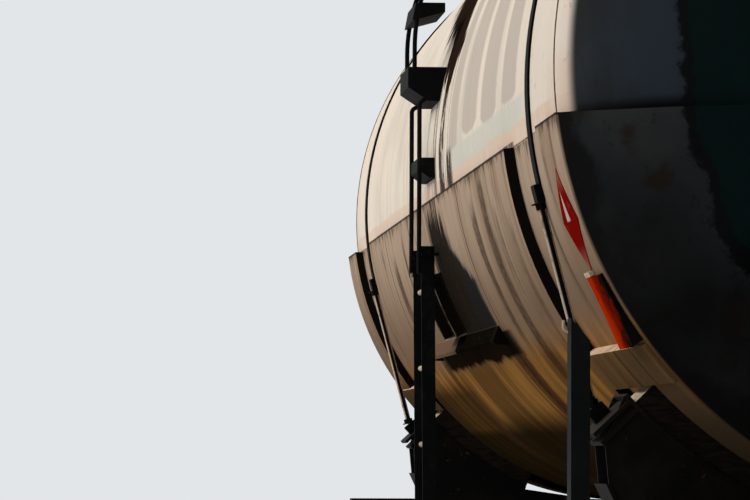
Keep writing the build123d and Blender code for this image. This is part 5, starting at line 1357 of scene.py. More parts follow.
@dataclass(frozen=True)
class DiamondPaint:
    """Red-bordered diamond, white above and red below, blank and faded."""

    centre_x: float = 4.655
    centre_phi: float = -19.9
    half: float = 0.18
    shift: float = 0.03
    squeeze: float = 2.4
    red: Colour = (0.19, 0.0040, 0.0020)
    faded: Colour = (0.30, 0.090, 0.070)
    white: Colour = (0.52, 0.42, 0.38)

    def material(self, form: TankForm) -> bpy.types.Material:
        """Material of the diamond.

        Args:
            form: Radii and axis of the tank.

        Returns:
            The material.
        """
        graph = TankGraph("diamond_paint", form)
        along = graph.math("SUBTRACT", graph.math("ABSOLUTE", graph.x), self.centre_x)
        metre = math.pi / 180.0 * form.jacket_radius
        down = graph.math("MULTIPLY", graph.math("SUBTRACT", graph.phi, self.centre_phi), metre)
        aside = graph.math("ABSOLUTE", graph.math("ADD", along, self.shift))
        height = graph.math("ABSOLUTE", down)
        reach = graph.math("ADD", graph.math("MULTIPLY", aside, self.squeeze), height)
        inside = graph.smooth(reach, self.half * 0.62, self.half * 0.52)
        upper = graph.smooth(down, -0.004, 0.004)
        worn = graph.noise(graph.place, 14.0, 6.0, 0.7)
        tips = graph.product(graph.smooth(height, self.half * 0.45, self.half * 0.90), 0.8)
        red = graph.mix(tips, self.red, self.faded)
        colour = graph.mix(graph.product(inside, upper), red, self.white)
        colour = graph.mix(graph.product(graph.smooth(worn, 0.60, 0.72), 0.6), colour, (0.16, 0.10, 0.07))
        return graph.surface(colour, 0.8, 0.0, graph.bump(worn, 0.002, 0.4), 0.0)


@dataclass(frozen=True)
class OrangePaint:
    """Worn orange plate that turns dark red and then black towards the car's end as painted shade, with flaked paint.
    """

    orange: Colour = (0.46, 0.024, 0.001)
    red: Colour = (0.16, 0.0070, 0.0010)
    bare: Colour = (0.010, 0.006, 0.004)

    def material(self) -> bpy.types.Material:
        """Material of the plate."""
        graph = Graph("orange_paint")
        place = graph.position()
        cloud = graph.noise(place, 7.0, 5.0, 0.65, 0.4)
        flakes = graph.noise(place, 15.0, 7.0, 0.78, 0.6)
        x, _, _ = graph.separate(place)
        along = graph.math("ABSOLUTE", x)
        drift = graph.math("MULTIPLY", graph.math("SUBTRACT", cloud, 0.5), 0.25)
        # painted shade: orange turns dark red and then black towards the car's end
        bright = graph.smooth(graph.math("ADD", along, drift), 4.72, 4.60)
        colour = graph.mix(bright, self.red, self.orange)
        shaded_end = graph.linear(along, 4.70, 4.88, 0.0, 0.26)
        flaked_and_shaded = graph.smooth(graph.math("ADD", flakes, shaded_end), 0.56, 0.72)
        colour = graph.mix(flaked_and_shaded, colour, self.bare)
        return graph.surface(colour, 0.8, 0.0, graph.bump(graph.math("SUBTRACT", 1.0, flaked_and_shaded), 0.001, 0.8), 0.0)


@dataclass(frozen=True)
class Backdrop:
    """Pale floor, background and soft lights."""

    tone: Colour = (0.765, 0.790, 0.812)
    reach: float = 900.0
    world_strength: float = 0.48
    near_lift: float = 0.36
    clear_from: float = 7.0
    clear_to: float = 22.0

    def build(self) -> None:
        """Make the floor, the world and the lamps."""
        mesh = bpy.data.meshes.new("floor")
        half = self.reach
        mesh.from_pydata([(-half, -half, 0.0), (half, -half, 0.0), (half, half, 0.0), (-half, half, 0.0)], [], [(0, 1, 2, 3)])
        floor = bpy.data.objects.new("floor", mesh)
        bpy.context.scene.collection.objects.link(floor)
        graph = Graph("floor_paint")
        cloud = graph.noise(graph.position(), 0.6, 3.0)
        shade = tuple(0.94 * channel for channel in self.tone)
        graph.surface(graph.mix(graph.smooth(cloud, 0.2, 0.8), self.tone, shade), 0.9, specular=0.1)
        self._lift(graph)
        mesh.materials.append(graph.material)
        self._world()
        self._lamp("key", (-5.0, -18.5, 15.0), 9.0, 2950.0, (1.0, 0.955, 0.90))
        self._lamp("front_fill", (16.0, -9.0, 9.0), 8.0, 160.0, (0.93, 0.96, 1.0))
        self._lamp("left_fill", (4.0, 16.0, 11.0), 9.0, 1300.0, (1.0, 1.0, 1.0))

    def _lift(self, graph: Graph) -> None:
        """Show the floor as pale as the background far off, and with its shadows near the car."""
        lit = graph.output.inputs["Surface"].links[0].from_socket
        path = graph.tree.nodes.new("ShaderNodeLightPath")
        glow = graph.tree.nodes.new("ShaderNodeEmission")
        glow.inputs["Color"].default_value = (*self.tone, 1.0)
        glow.inputs["Strength"].default_value = 1.0
        x, y, _ = graph.separate(graph.position())
        away = graph.math("SQRT", graph.math("ADD", graph.product(x, x), graph.product(y, y)))
        lift = graph.linear(away, self.clear_from, self.clear_to, self.near_lift, 1.0)
        shown = graph.most(*(path.outputs[kind] for kind in ("Is Camera Ray", "Is Glossy Ray", "Is Transmission Ray")))
        share = graph.product(shown, lift)
        choice = graph.tree.nodes.new("ShaderNodeMixShader")
        graph.feed(choice.inputs[0], share)
        graph.tree.links.new(lit, choice.inputs[1])
        graph.tree.links.new(glow.outputs[0], choice.inputs[2])
        graph.tree.links.new(choice.outputs[0], graph.output.inputs["Surface"])

    def _world(self) -> None:
        """Even light from all round, seen as the pale background."""
        world = bpy.data.worlds.new("studio")
        world.use_nodes = True
        bpy.context.scene.world = world
        tree = world.node_tree
        tree.nodes.clear()
        path = tree.nodes.new("ShaderNodeLightPath")
        seen = tree.nodes.new("ShaderNodeBackground")
        seen.inputs["Color"].default_value = (*self.tone, 1.0)
        seen.inputs["Strength"].default_value = 1.0
        light = tree.nodes.new("ShaderNodeBackground")
        light.inputs["Color"].default_value = (*self.tone, 1.0)
        light.inputs["Strength"].default_value = self.world_strength
        choice = tree.nodes.new("ShaderNodeMixShader")
        shown = path.outputs["Is Camera Ray"]
        for kind in ("Is Glossy Ray", "Is Transmission Ray"):
            either = tree.nodes.new("ShaderNodeMath")
            either.operation = "MAXIMUM"
            tree.links.new(shown, either.inputs[0])
            tree.links.new(path.outputs[kind], either.inputs[1])
            shown = either.outputs[0]
        tree.links.new(shown, choice.inputs[0])
        tree.links.new(light.outputs[0], choice.inputs[1])
        tree.links.new(seen.outputs[0], choice.inputs[2])
        output = tree.nodes.new("ShaderNodeOutputWorld")
        tree.links.new(choice.outputs[0], output.inputs["Surface"])

    def _lamp(self, name: str, place: Point, size: float, power: float, colour: Colour) -> None:
        """Square area lamp that points at the middle of the car."""
        data = bpy.data.lights.new(name, "AREA")
        data.size = size
        data.energy = power
        data.color = colour
        lamp = bpy.data.objects.new(name, data)
        bpy.context.scene.collection.objects.link(lamp)
        aim = Vector((0.0, 0.0, 2.0)) - Vector(place)
        lamp.matrix_world = Matrix.Translation(place) @ aim.to_track_quat("-Z", "Y").to_matrix().to_4x4()


@dataclass(frozen=True)
class PhotoCamera:
    """Camera of the photograph: a long lens low beside the track, looking back along the car."""

    place: Point = (17.93, -3.108, 1.5105)
    turn: float = 0.0752
    tilt: float = 0.0505
    roll: float = 0.0039
    focal_pixels: float = 4051.0
    frame_width: float = 750.0
    sensor: float = 36.0

    def build(self) -> None:
        """Make the camera and set it as the scene's own."""
        data = bpy.data.cameras.new("camera")
        data.sensor_width = self.sensor
        data.lens = self.focal_pixels / self.frame_width * self.sensor
        data.clip_start = 0.1
        data.clip_end = 3000.0
        forward = Vector(
            (
                -math.cos(self.turn) * math.cos(self.tilt),
                math.sin(self.turn) * math.cos(self.tilt),
                math.sin(self.tilt),
            )
        )
        right = forward.cross(Vector((0.0, 0.0, 1.0))).normalized()
        up = right.cross(forward)
        rolled_right = right * math.cos(self.roll) + up * math.sin(self.roll)
        rolled_up = up * math.cos(self.roll) - right * math.sin(self.roll)
        rotation = Matrix((rolled_right, rolled_up, -forward)).transposed().to_4x4()
        camera = bpy.data.objects.new("camera", data)
        bpy.context.scene.collection.objects.link(camera)
        camera.matrix_world = Matrix.Translation(self.place) @ rotation
        bpy.context.scene.camera = camera


class Paintwork:
    """Finishes of the frame's own nodes."""

    def __init__(self, form: TankForm) -> None:
        """Build every finish once.

        Args:
            form: Radii and axis of the tank.
        """
        low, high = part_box("wheels_1")
        tones = FlankTones()
        self.black = WeatheredPaint("black_paint", (0.0030, 0.0034, 0.0034), (0.020, 0.017, 0.014), rust_share=0.05).material()
        self.ladder = LadderPaint().material()
        self.frame = WeatheredPaint("frame_paint", (0.0045, 0.0042, 0.0038), (0.036, 0.027, 0.019), rust_share=0.2).material()
        self.strap = StrapPaint().material(form)
        self.rib = DripBoxPaint().material(form)
        self.cast = CastSteel().material()
        self.wheel = WheelSteel((low[2] + high[2]) / 2, (high[2] - low[2]) / 2, 0.72).material()
        self.bare = BareSteel().material()
        self.clip = WeatheredPaint("clip_paint", (0.60, 0.46, 0.33), (0.30, 0.22, 0.15), rust_share=0.3).material()
        self.spring = WeatheredPaint("spring_steel", (0.020, 0.017, 0.015), (0.09, 0.06, 0.04), rust_share=0.7).material()
        self.oak = Timber().material()
        self.weld = WeatheredPaint("weld_paint", (0.20, 0.16, 0.13), (0.05, 0.035, 0.025), rust_share=0.8).material()
        self.diamond = DiamondPaint().material(form)
        self.orange = OrangePaint().material()
        self.shell = ShellPaint(tones).material(form)
        self.jacket = JacketPaint(tones).material(form)

    def finish_for(self, node: str) -> bpy.types.Material:
        """Finish that a node of the frame gets.

        Args:
            node: Name of the node.

        Returns:
            Its material.
        """
        table = (
            (("tank_shell",), self.shell),
            (("jacket_", "window_ledges"), self.jacket),
            (("ladder_",), self.ladder),
            (("platform_", "corner_posts", "hatch_", "safety_valve"), self.black),
            (("tank_straps",), self.strap),
            (("saddle_blocks",), self.oak),
            (("wheels_",), self.wheel),
            (("axle_",), self.cast),
            (("coupler_",), self.cast),
            (("bogie_front_springs", "bogie_rear_springs"), self.spring),
            (("bogie_",), self.cast),
        )
        for starts, material in table:
            if node.startswith(starts):
                return material
        return self.frame

    def apply(self, nodes: dict[str, bpy.types.Object]) -> None:
        """Give every node its finish."""
        for name, thing in nodes.items():
            thing.data.materials.clear()
            thing.data.materials.append(self.finish_for(name))
            LOG.info("finish on %s", name)


@dataclass(frozen=True)
class TankDressing:
    """Ring welds round the tank and the nuts of its straps."""

    form: TankForm
    weld_x: float = 4.62
    bead_half: float = 0.010
    bead_height: float = 0.004
    seam_phi: float = -7.0
    strap_x: float = 3.85
    rod_radius: float = 1.5256
    rod_top_phi: float = -14.72
    foot_radius: float = 1.7103
    foot_phi: float = -41.55

    def dress(self, paints: Paintwork, bolts: Scatter) -> None:
        """Add the welds and the nuts.

        Args:
            paints: Finishes.
            bolts: Node group of bolt heads.
        """
        beads = Shape("tank_ring_welds")
        inner = self.form.radius - 0.002
        for end in (1, -1):
            middle = end * self.weld_x
            profile = [
                (middle - self.bead_half, inner),
                (middle - 0.6 * self.bead_half, inner + 0.002 + 0.7 * self.bead_height),
                (middle, inner + 0.002 + self.bead_height),
                (middle + 0.6 * self.bead_half, inner + 0.002 + 0.7 * self.bead_height),
                (middle + self.bead_half, inner),
            ]
            beads.around(self.form, Side.LEFT, steps(self.seam_phi, 180.0 - self.seam_phi, 120), profile)
        beads.finish(paints.weld, "root", "shell_paint")
        nuts = []
        for x in (self.strap_x, -self.strap_x):
            for side in Side:
                top = self.form.point(x, self.rod_top_phi - 1.2, self.rod_radius, side)
                foot = self.form.point(x, self.foot_phi, self.foot_radius, side)
                run = (top - foot).normalized()
                nuts.append(Fastener(foot, run))
                nuts.append(Fastener(top, -run))
        bolts.apply("strap_nuts", nuts, 0.023, 0.026, paints.black, "root", "black_paint")


@dataclass(frozen=True)
class Placards:
    """Blank hazard diamond and orange plate at the front of the right flank and the rear of the left."""

    form: TankForm
    diamond_x: float = 4.655
    diamond_phi: float = -19.9
    diamond_half: float = 0.18
    plate_start: float = 4.545
    plate_end: float = 4.865
    plate_top_phi: float = -27.2
    plate_low_phi: float = -36.6
    sheet: float = 0.0025

    def dress(self, paints: Paintwork) -> None:
        """Add both signs with their holders.

        Args:
            paints: Finishes.
        """
        for end, side in ((1, Side.RIGHT), (-1, Side.LEFT)):
            place = "front" if end > 0 else "rear"
            self._diamond(end, side).finish(paints.diamond, "root")
            self._plate(end, side).finish(paints.orange, "root", sharp=50.0)
            # the holder's black paint also stands for painted shade at the plate's end
            self._holder(end, side, place).finish(paints.black, "root", "black_paint", sharp=50.0)
            self._clip(end, side, place).finish(paints.clip, "root", sharp=50.0)

    def _diamond(self, end: int, side: Side) -> Shape:
        """Thin square on its corner, bent to the jacket."""
        shape = Shape("hazard_diamond_front" if end > 0 else "hazard_diamond_rear")
        radius = self.form.jacket_radius + 0.0006
        rings = []
        for share in steps(-0.995, 0.995, 25):
            half = self.diamond_half * (1.0 - abs(share))
            phi = self.diamond_phi + share * math.degrees(self.diamond_half / radius)
            low, high = end * (self.diamond_x - half), end * (self.diamond_x + half)
            ring = [(low, radius), (high, radius), (high, radius + self.sheet), (low, radius + self.sheet)]
            rings.append([self.form.point(x, phi, reach, side) for x, reach in ring])
        return shape.loft(rings)

    def _plate(self, end: int, side: Side) -> Shape:
        """Orange plate that stands off further towards its low edge."""
        shape = Shape("orange_plate_front" if end > 0 else "orange_plate_rear")
        rings = []
        for share in steps(0.0, 1.0, 14):
            phi = self.plate_top_phi + share * (self.plate_low_phi - self.plate_top_phi)
            reach = self.form.jacket_radius + 0.012 + 0.030 * share**2
            start, finish = end * self.plate_start, end * self.plate_end
            ring = [(start, reach), (finish, reach), (finish, reach + self.sheet), (start, reach + self.sheet)]
            rings.append([self.form.point(x, phi, radius, side) for x, radius in ring])
        return shape.loft(rings)

    def _holder(self, end: int, side: Side, place: str) -> Shape:
        """Frame bars behind the plate."""
        shape = Shape("plate_holder_" + place)
        base = self.form.jacket_radius + 0.0005
        for x in (self.plate_start + 0.02, self.plate_end - 0.035):
            rings = []
            for share in steps(0.0, 1.0, 8):
                phi = self.plate_top_phi + share * (self.plate_low_phi - self.plate_top_phi)
                reach = self.form.jacket_radius + 0.0115 + 0.030 * share**2
                ring = [(end * x, base), (end * (x + 0.015), base), (end * (x + 0.015), reach), (end * x, reach)]
                rings.append([self.form.point(along, phi, radius, side) for along, radius in ring])
            shape.loft(rings)
        return shape

    def _clip(self, end: int, side: Side, place: str) -> Shape:
        """Pale clip over the plate's upper corner."""
        shape = Shape("plate_clip_" + place)
        base = self.form.jacket_radius + 0.0005
        clip = [
            (end * self.plate_start, base),
            (end * (self.plate_start + 0.12), base),
            (end * (self.plate_start + 0.12), base + 0.016),
            (end * self.plate_start, base + 0.016),
        ]
        shape.around(self.form, side, steps(self.plate_top_phi + 0.1, self.plate_top_phi + 0.7, 3), clip)
        return shape


@dataclass(frozen=True)
class LadderDressing:
    """Bolts of both side ladders and the ribs of the drip box behind each one."""

    form: TankForm
    rib_starts: tuple[float, ...] = (0.045, -0.50)
    rib_top_phi: float = -18.6
    rib_low_phi: float = -29.3
    rib_height: float = 0.050
    rib_half: float = 0.003
    lip: float = 0.030
    bracket_x: float = 0.2
    bracket_top: float = 2.398
    bracket_y: float = 1.53
    outrigger_top: float = 1.098
    outrigger_y: float = 1.40

    def dress(self, paints: Paintwork, bolts: Scatter) -> None:
        """Add the bolts.

        Args:
            paints: Finishes.
            bolts: Node group of bolt heads.
        """
        up = Vector((0.0, 0.0, 1.0))
        places = []
        for side in Side:
            for x in (-self.bracket_x, self.bracket_x):
                for offset in (-0.022, 0.022):
                    places.append(Fastener(Vector((x + offset, side.value * self.bracket_y, self.bracket_top)), up))
                places.append(Fastener(Vector((x, side.value * 0.30, self.outrigger_top)), up))
                places.append(Fastener(Vector((x, side.value * self.outrigger_y, self.outrigger_top)), up))
        bolts.apply("ladder_bolts", places, 0.011, 0.010, paints.black, "root", "black_paint")
        for side in Side:
            self._drip_box(side).finish(paints.rib, "root", "black_paint")

    def _drip_box(self, side: Side) -> Shape:
        """Two angle ribs down the jacket that keep drips beside the ladder, with a sill at their foot."""
        shape = Shape("drip_box_right" if side is Side.RIGHT else "drip_box_left")
        base = self.form.jacket_radius + 0.0004
        phis = steps(self.rib_top_phi, self.rib_low_phi, 14)
        for start in self.rib_starts:
            web = [
                (start - self.rib_half, base),
                (start + self.rib_half, base),
                (start + self.rib_half, base + self.rib_height),
                (start - self.rib_half, base + self.rib_height),
            ]
            shape.around(self.form, side, phis, web)
            flange = [
                (start + self.rib_half, base),
                (start + self.lip, base),
                (start + self.lip, base + 2.0 * self.rib_half),
                (start + self.rib_half, base + 2.0 * self.rib_half),
            ]
            shape.around(self.form, side, phis, flange)
        foot = [
            (self.rib_starts[1] + self.rib_half, base),
            (self.rib_starts[0] - self.rib_half, base),
            (self.rib_starts[0] - self.rib_half, base + self.rib_height),
            (self.rib_starts[1] + self.rib_half, base + self.rib_height),
        ]
        shape.around(self.form, side, steps(self.rib_low_phi + 0.2, self.rib_low_phi, 2), foot)
        return shape


@dataclass(frozen=True)
class PlatformDressing:
    """Raised tread on the platform's deck and the bolts of its posts."""

    half_length: float = 0.68
    half_width: float = 1.03
    deck_z: float = 4.378
    opening: float = 0.42
    pitch: float = 0.046
    post_y: float = 1.0603
    post_xs: tuple[float, ...] = (0.2975, 0.625)

    def dress(self, paints: Paintwork, bolts: Scatter) -> None:
        """Add the tread and the bolts.

        Args:
            paints: Finishes.
            bolts: Node group of bolt heads.
        """
        up = Vector((0.0, 0.0, 1.0))
        across = int(self.half_length / self.pitch)
        along = int(self.half_width / self.pitch)
        places = []
        for row in range(-across, across + 1):
            for column in range(-along, along + 1):
                spot = Vector((row * self.pitch, column * self.pitch, self.deck_z))
                if spot.xy.length > self.opening:
                    places.append(Fastener(spot, up))
        tread_studs().apply("deck_tread", places, 0.016, 0.005, paints.black, "root", "black_paint")
        studs = []
        for end in (1, -1):
            for side in Side:
                for x in self.post_xs:
                    for height in (0.03, 0.14):
                        spot = Vector((end * x, side.value * self.post_y, self.deck_z + height))
                        studs.append(Fastener(spot, Vector((0.0, side.value, 0.0))))
        bolts.apply("platform_bolts", studs, 0.011, 0.010, paints.black, "root", "black_paint")


@dataclass(frozen=True)
class HatchDressing:
    """Nuts of the swing bolts, the lid's handle and the valve's bolts."""

    bolt_circle: float = 0.329
    bolt_top: float = 4.600
    bolt_count: int = 8
    lid_top: float = 4.616
    handle_half: float = 0.09
    handle_rise: float = 0.045
    valve_x: float = 1.05
    valve_circle: float = 0.092
    valve_top: float = 4.349

    def dress(self, paints: Paintwork, bolts: Scatter) -> None:
        """Add nuts, handle and bolts.

        Args:
            paints: Finishes.
            bolts: Node group of bolt heads.
        """
        up = Vector((0.0, 0.0, 1.0))
        nuts = []
        for index in range(self.bolt_count):
            turn = math.radians(22.5 + 360.0 * index / self.bolt_count)
            spot = Vector((self.bolt_circle * math.cos(turn), self.bolt_circle * math.sin(turn), self.bolt_top))
            nuts.append(Fastener(spot, up))
        bolts.apply("hatch_nuts", nuts, 0.0085, 0.011, paints.bare, "root")
        valve = []
        for index in range(6):
            turn = math.radians(60.0 * index)
            spot = Vector((self.valve_x + self.valve_circle * math.cos(turn), self.valve_circle * math.sin(turn), self.valve_top))
            valve.append(Fastener(spot, up))
        bolts.apply("valve_bolts", valve, 0.008, 0.008, paints.bare, "root")
        foot, top = self.lid_top - 0.004, self.lid_top + self.handle_rise
        corners = [
            Vector((0.0, -self.handle_half, foot)),
            Vector((0.0, -self.handle_half, top)),
            Vector((0.0, self.handle_half, top)),
            Vector((0.0, self.handle_half, foot)),
        ]
        Shape("lid_handle").tube(rounded_path(corners, 0.02), 0.007).finish(paints.bare, "hatch_lid")


@dataclass(frozen=True)
class BogieDressing:
    """Coil springs, wedges and cover bolts of one three-piece bogie."""

    name: str
    centre_x: float
    half_wheelbase: float = 0.925
    journal_y: float = 1.018
    axle_z: float = 0.5065
    cover_y: float = 1.165
    cover_circle: float = 0.098
    seat_z: float = 0.313
    spring_length: float = 0.195
    spring_pitch: float = 0.140
    coil_radius: float = 0.0535
    wire: float = 0.0125
    inner_radius: float = 0.030
    inner_wire: float = 0.008

    def dress(self, paints: Paintwork, bolts: Scatter) -> None:
        """Build the springs in place of the plain cylinders, and the small pieces round them.

        Args:
            paints: Finishes.
            bolts: Node group of bolt heads.
        """
        up = Vector((0.0, 0.0, 1.0))
        row = self.spring_pitch * math.sqrt(3.0) / 2.0
        seats = []
        for side in Side:
            for offset_x, offset_y in (
                (-1.0, 0.0),
                (0.0, 0.0),
                (1.0, 0.0),
                (-0.5, 1.0),
                (0.5, 1.0),
                (-0.5, -1.0),
                (0.5, -1.0),
            ):
                x = self.centre_x + offset_x * self.spring_pitch
                y = side.value * self.journal_y + offset_y * row
                seats.append(Vector((x, y, self.seat_z)))
        for label, radius, wire, turns in (
            ("outer", self.coil_radius, self.wire, 4.6),
            ("inner", self.inner_radius, self.inner_wire, 6.7),
        ):
            group = coil_springs(turns, wire)
            places = [Fastener(seat + up * wire, up) for seat in seats]
            rise = self.spring_length - 2.0 * wire
            piece = group.apply(
                f"{self.name}_{label}_coils", places, radius, rise, paints.spring, self.name, "spring_steel"
            )
            if label == "outer":
                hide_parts(self.name + "_springs")
        covers = []
        for end in (1, -1):
            for side in Side:
                for index in range(8):
                    turn = math.radians(22.5 + 45.0 * index)
                    spot = Vector(
                        (
                            self.centre_x + end * self.half_wheelbase + self.cover_circle * math.cos(turn),
                            side.value * self.cover_y,
                            self.axle_z + self.cover_circle * math.sin(turn),
                        )
                    )
                    covers.append(Fastener(spot, Vector((0.0, side.value, 0.0))))
        bolts.apply(self.name + "_cover_bolts", covers, 0.011, 0.011, paints.cast, self.name, "cast_steel")
        wedges = Shape(self.name + "_wedges")
        for end in (1, -1):
            for side in Side:
                xs = sorted((self.centre_x + end * 0.2065, self.centre_x + end * 0.2235))
                ys = sorted((side.value * (self.journal_y - 0.065), side.value * (self.journal_y + 0.065)))
                wedges.box((xs[0], ys[0], 0.515), (xs[1], ys[1], 0.625))
        wedges.finish(paints.bare, self.name)


@dataclass(frozen=True)
class EndDressing:
    """Bolts, uncoupling lever and post fittings of one end of the underframe."""

    turn: int
    beam_x: float = 5.4
    striker_x: float = 5.46
    coupler_z: float = 1.088
    lever_x: float = 5.44
    lever_z: float = 1.005
    lever_y: float = 1.36
    post_y: float = 1.5503
    post_top: float = 1.938

    def spot(self, x: float, y: float, z: float) -> Vector:
        """Place on this end; the rear end is the front one turned half a turn."""
        return Vector((self.turn * x, self.turn * y, z))

    def dress(self, paints: Paintwork, bolts: Scatter) -> None:
        """Add the small pieces.

        Args:
            paints: Finishes.
            bolts: Node group of bolt heads.
        """
        place = "front" if self.turn > 0 else "rear"
        outward = Vector((float(self.turn), 0.0, 0.0))
        places = []
        for y in (-0.152, 0.152):
            for z in (-0.12, -0.04, 0.04, 0.12):
                places.append(Fastener(self.spot(self.striker_x, y, self.coupler_z + z), outward))
        for y in (-1.40, -1.32, -1.16, -1.08, 1.08, 1.16, 1.32, 1.40):
            for z in (0.985, 1.205):
                places.append(Fastener(self.spot(self.beam_x, y, z), outward))
        for y in (-0.42, -0.34, 0.34, 0.42):
            for z in (0.97, 1.05, 1.13, 1.21):
                places.append(Fastener(self.spot(self.beam_x, y, z), outward))
        sideways = Vector((0.0, -float(self.turn), 0.0))
        for x in (5.325, 5.375):
            for z in (0.99, 1.08, 1.17):
                places.append(Fastener(self.spot(x, -self.post_y, z), sideways))
        bolts.apply("end_bolts_" + place, places, 0.013, 0.012, paints.frame, "root", "frame_paint")
        self._lever(place, paints)
        self._post_fittings(place, paints)
        self._lock_shaft(place, paints)

    def _lever(self, place: str, paints: Paintwork) -> None:
        """Uncoupling lever in two brackets along the beam."""
        lever = Shape("uncoupling_lever_" + place)
        corners = [
            self.spot(self.lever_x + 0.03, -self.lever_y, 0.72),
            self.spot(self.lever_x, -self.lever_y, self.lever_z),
            self.spot(self.lever_x, -0.30, self.lever_z),
            self.spot(self.lever_x + 0.07, -0.235, self.lever_z + 0.05),
        ]
        lever.tube(rounded_path(corners, 0.05), 0.011)
        for y in (-1.24, -0.46):
            low, high = self.spot(self.beam_x, y - 0.012, 0.0), self.spot(self.lever_x + 0.018, y + 0.012, 0.0)
            xs, ys = sorted((low.x, high.x)), sorted((low.y, high.y))
            lever.box((xs[0], ys[0], self.lever_z - 0.035), (xs[1], ys[1], self.lever_z + 0.02))
        lever.finish(paints.frame, "root", "frame_paint")

    def _post_fittings(self, place: str, paints: Paintwork) -> None:
        """Small lamp hook and pin at the corner post's top."""
        hook = Shape("post_hook_" + place)
        corners = [
            self.spot(5.315, -self.post_y + 0.004, self.post_top - 0.042),
            self.spot(5.315, -self.post_y - 0.014, self.post_top - 0.032),
            self.spot(5.315, -self.post_y - 0.014, self.post_top - 0.004),
        ]
        hook.tube(rounded_path(corners, 0.007, 4), 0.005, 8)
        hook.finish(paints.clip, "root")

    def _lock_shaft(self, place: str, paints: Paintwork) -> None:
        """Shaft of the coupler's lock, through the head from side to side."""
        shaft = Shape("coupler_lock_shaft_" + place)
        x, z = 5.80, self.coupler_z - 0.05
        shaft.tube([self.spot(x, -0.222, z), self.spot(x, 0.240, z)], 0.020, 16)
        shaft.tube([self.spot(x, -0.228, z), self.spot(x, -0.215, z)], 0.034, 6)
        shaft.finish(paints.bare, "coupler_" + place)


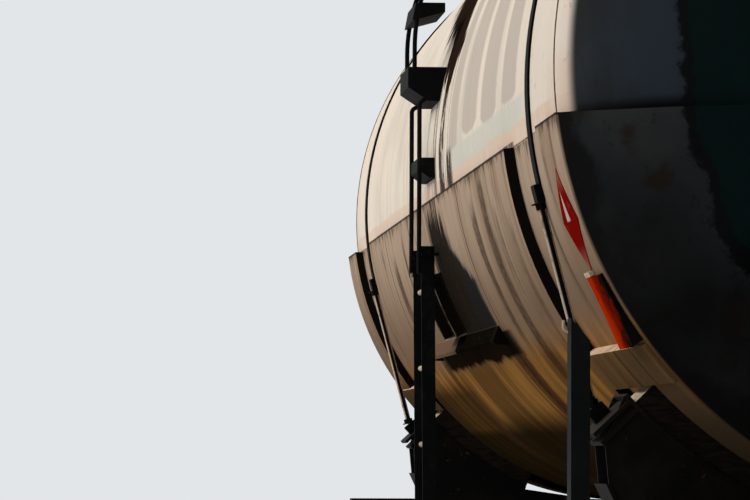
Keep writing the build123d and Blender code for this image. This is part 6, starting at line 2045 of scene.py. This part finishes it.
@dataclass(frozen=True)
class UnderframeDressing:
    """Bolts and end caps of what hangs under the tank."""

    sill_bottom: float = 0.950
    outlet_circle: float = 0.1125
    steam_circle: float = 0.044
    brake_x: float = -2.15
    brake_y: float = 0.52
    brake_z: float = 1.010
    reservoir_length: float = 0.90
    reservoir_radius: float = 0.15
    cylinder_length: float = 0.46
    cylinder_radius: float = 0.178

    def dress(self, paints: Paintwork, bolts: Scatter) -> None:
        """Add bolts, caps and bands.

        Args:
            paints: Finishes.
            bolts: Node group of bolt heads.
        """
        up = Vector((0.0, 0.0, 1.0))
        small = []
        for index in range(8):
            turn = math.radians(22.5 + 45.0 * index)
            spot = Vector((self.outlet_circle * math.cos(turn), self.outlet_circle * math.sin(turn), self.sill_bottom + 0.02))
            small.append(Fastener(spot, up))
        for x, y in ((0.42, -0.42), (-0.42, 0.42)):
            for index in range(4):
                turn = math.radians(45.0 + 90.0 * index)
                spot = Vector((x + self.steam_circle * math.cos(turn), y + self.steam_circle * math.sin(turn), 0.840))
                small.append(Fastener(spot, up))
        bolts.apply("pipe_bolts", small, 0.007, 0.009, paints.bare, "root")
        large = []
        for x in (-1.03, -0.77, 0.77, 1.03):
            for y in (-0.25, 0.25):
                large.append(Fastener(Vector((x, y, self.sill_bottom + 0.0263)), up))
        bolts.apply("foot_bolts", large, 0.015, 0.014, paints.frame, "root", "frame_paint")
        self._reservoir(paints)
        self._cylinder(paints, bolts)

    def _disc(self, x: float, y: float, radius: float) -> list[Vector]:
        """Circle across the car's length."""
        turns = [2.0 * math.pi * index / 40 for index in range(40)]
        return [Vector((x, y + radius * math.cos(turn), self.brake_z + radius * math.sin(turn))) for turn in turns]

    def _reservoir(self, paints: Paintwork) -> None:
        """Dished ends and bands of the air reservoir."""
        caps = Shape("reservoir_caps")
        for start, way in ((self.brake_x, -1), (self.brake_x + self.reservoir_length, 1)):
            rings = []
            for share in steps(0.0, 0.97, 8):
                radius = self.reservoir_radius * math.sqrt(1.0 - share**2)
                rings.append(self._disc(start + way * (0.0005 + 0.065 * share), self.brake_y, radius))
            caps.loft(rings)
        for x in (self.brake_x + 0.18, self.brake_x + 0.72):
            rings = [self._disc(x + shift, self.brake_y, self.reservoir_radius + 0.004) for shift in (-0.025, 0.025)]
            caps.loft(rings)
        caps.finish(paints.frame, "root", "frame_paint")

    def _cylinder(self, paints: Paintwork, bolts: Scatter) -> None:
        """Flanges, bolts and push rod of the brake cylinder."""
        parts = Shape("brake_cylinder_parts")
        front = self.brake_x + self.cylinder_length
        for x in (self.brake_x + 0.012, front - 0.05):
            parts.loft([self._disc(x + shift, -self.brake_y, self.cylinder_radius + 0.016) for shift in (-0.011, 0.011)])
        rings = []
        for share in steps(0.0, 1.0, 5):
            rings.append(self._disc(front + 0.0005 + 0.09 * share, -self.brake_y, 0.15 - 0.11 * share))
        parts.loft(rings)
        parts.tube([Vector((front + 0.05, -self.brake_y, self.brake_z)), Vector((front + 0.42, -self.brake_y, self.brake_z))], 0.018)
        parts.finish(paints.frame, "root", "frame_paint")
        heads = []
        for index in range(12):
            turn = 2.0 * math.pi * index / 12
            spot = Vector(
                (
                    front - 0.039,
                    -self.brake_y + (self.cylinder_radius + 0.006) * math.cos(turn),
                    self.brake_z + (self.cylinder_radius + 0.006) * math.sin(turn),
                )
            )
            heads.append(Fastener(spot, Vector((1.0, 0.0, 0.0))))
        bolts.apply("cylinder_bolts", heads, 0.006, 0.008, paints.bare, "root")


def main() -> None:
    """Dress the tank car."""
    logging.basicConfig(level=logging.INFO, format="%(name)s: %(message)s")
    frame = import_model()
    bpy.context.scene.view_settings.view_transform = "Standard"
    form = TankForm.from_frame()
    Backdrop().build()
    PhotoCamera().build()
    paintwork = Paintwork(form)
    paintwork.apply(frame["nodes"])
    bolts = hex_bolts()
    TankDressing(form).dress(paintwork, bolts)
    Placards(form).dress(paintwork)
    LadderDressing(form).dress(paintwork, bolts)
    PlatformDressing().dress(paintwork, bolts)
    HatchDressing().dress(paintwork, bolts)
    for name, centre_x in (("bogie_front", 3.9), ("bogie_rear", -3.9)):
        BogieDressing(name, centre_x).dress(paintwork, bolts)
    for turn in (1, -1):
        EndDressing(turn).dress(paintwork, bolts)
    UnderframeDressing().dress(paintwork, bolts)


if __name__ == "__main__":
    main()
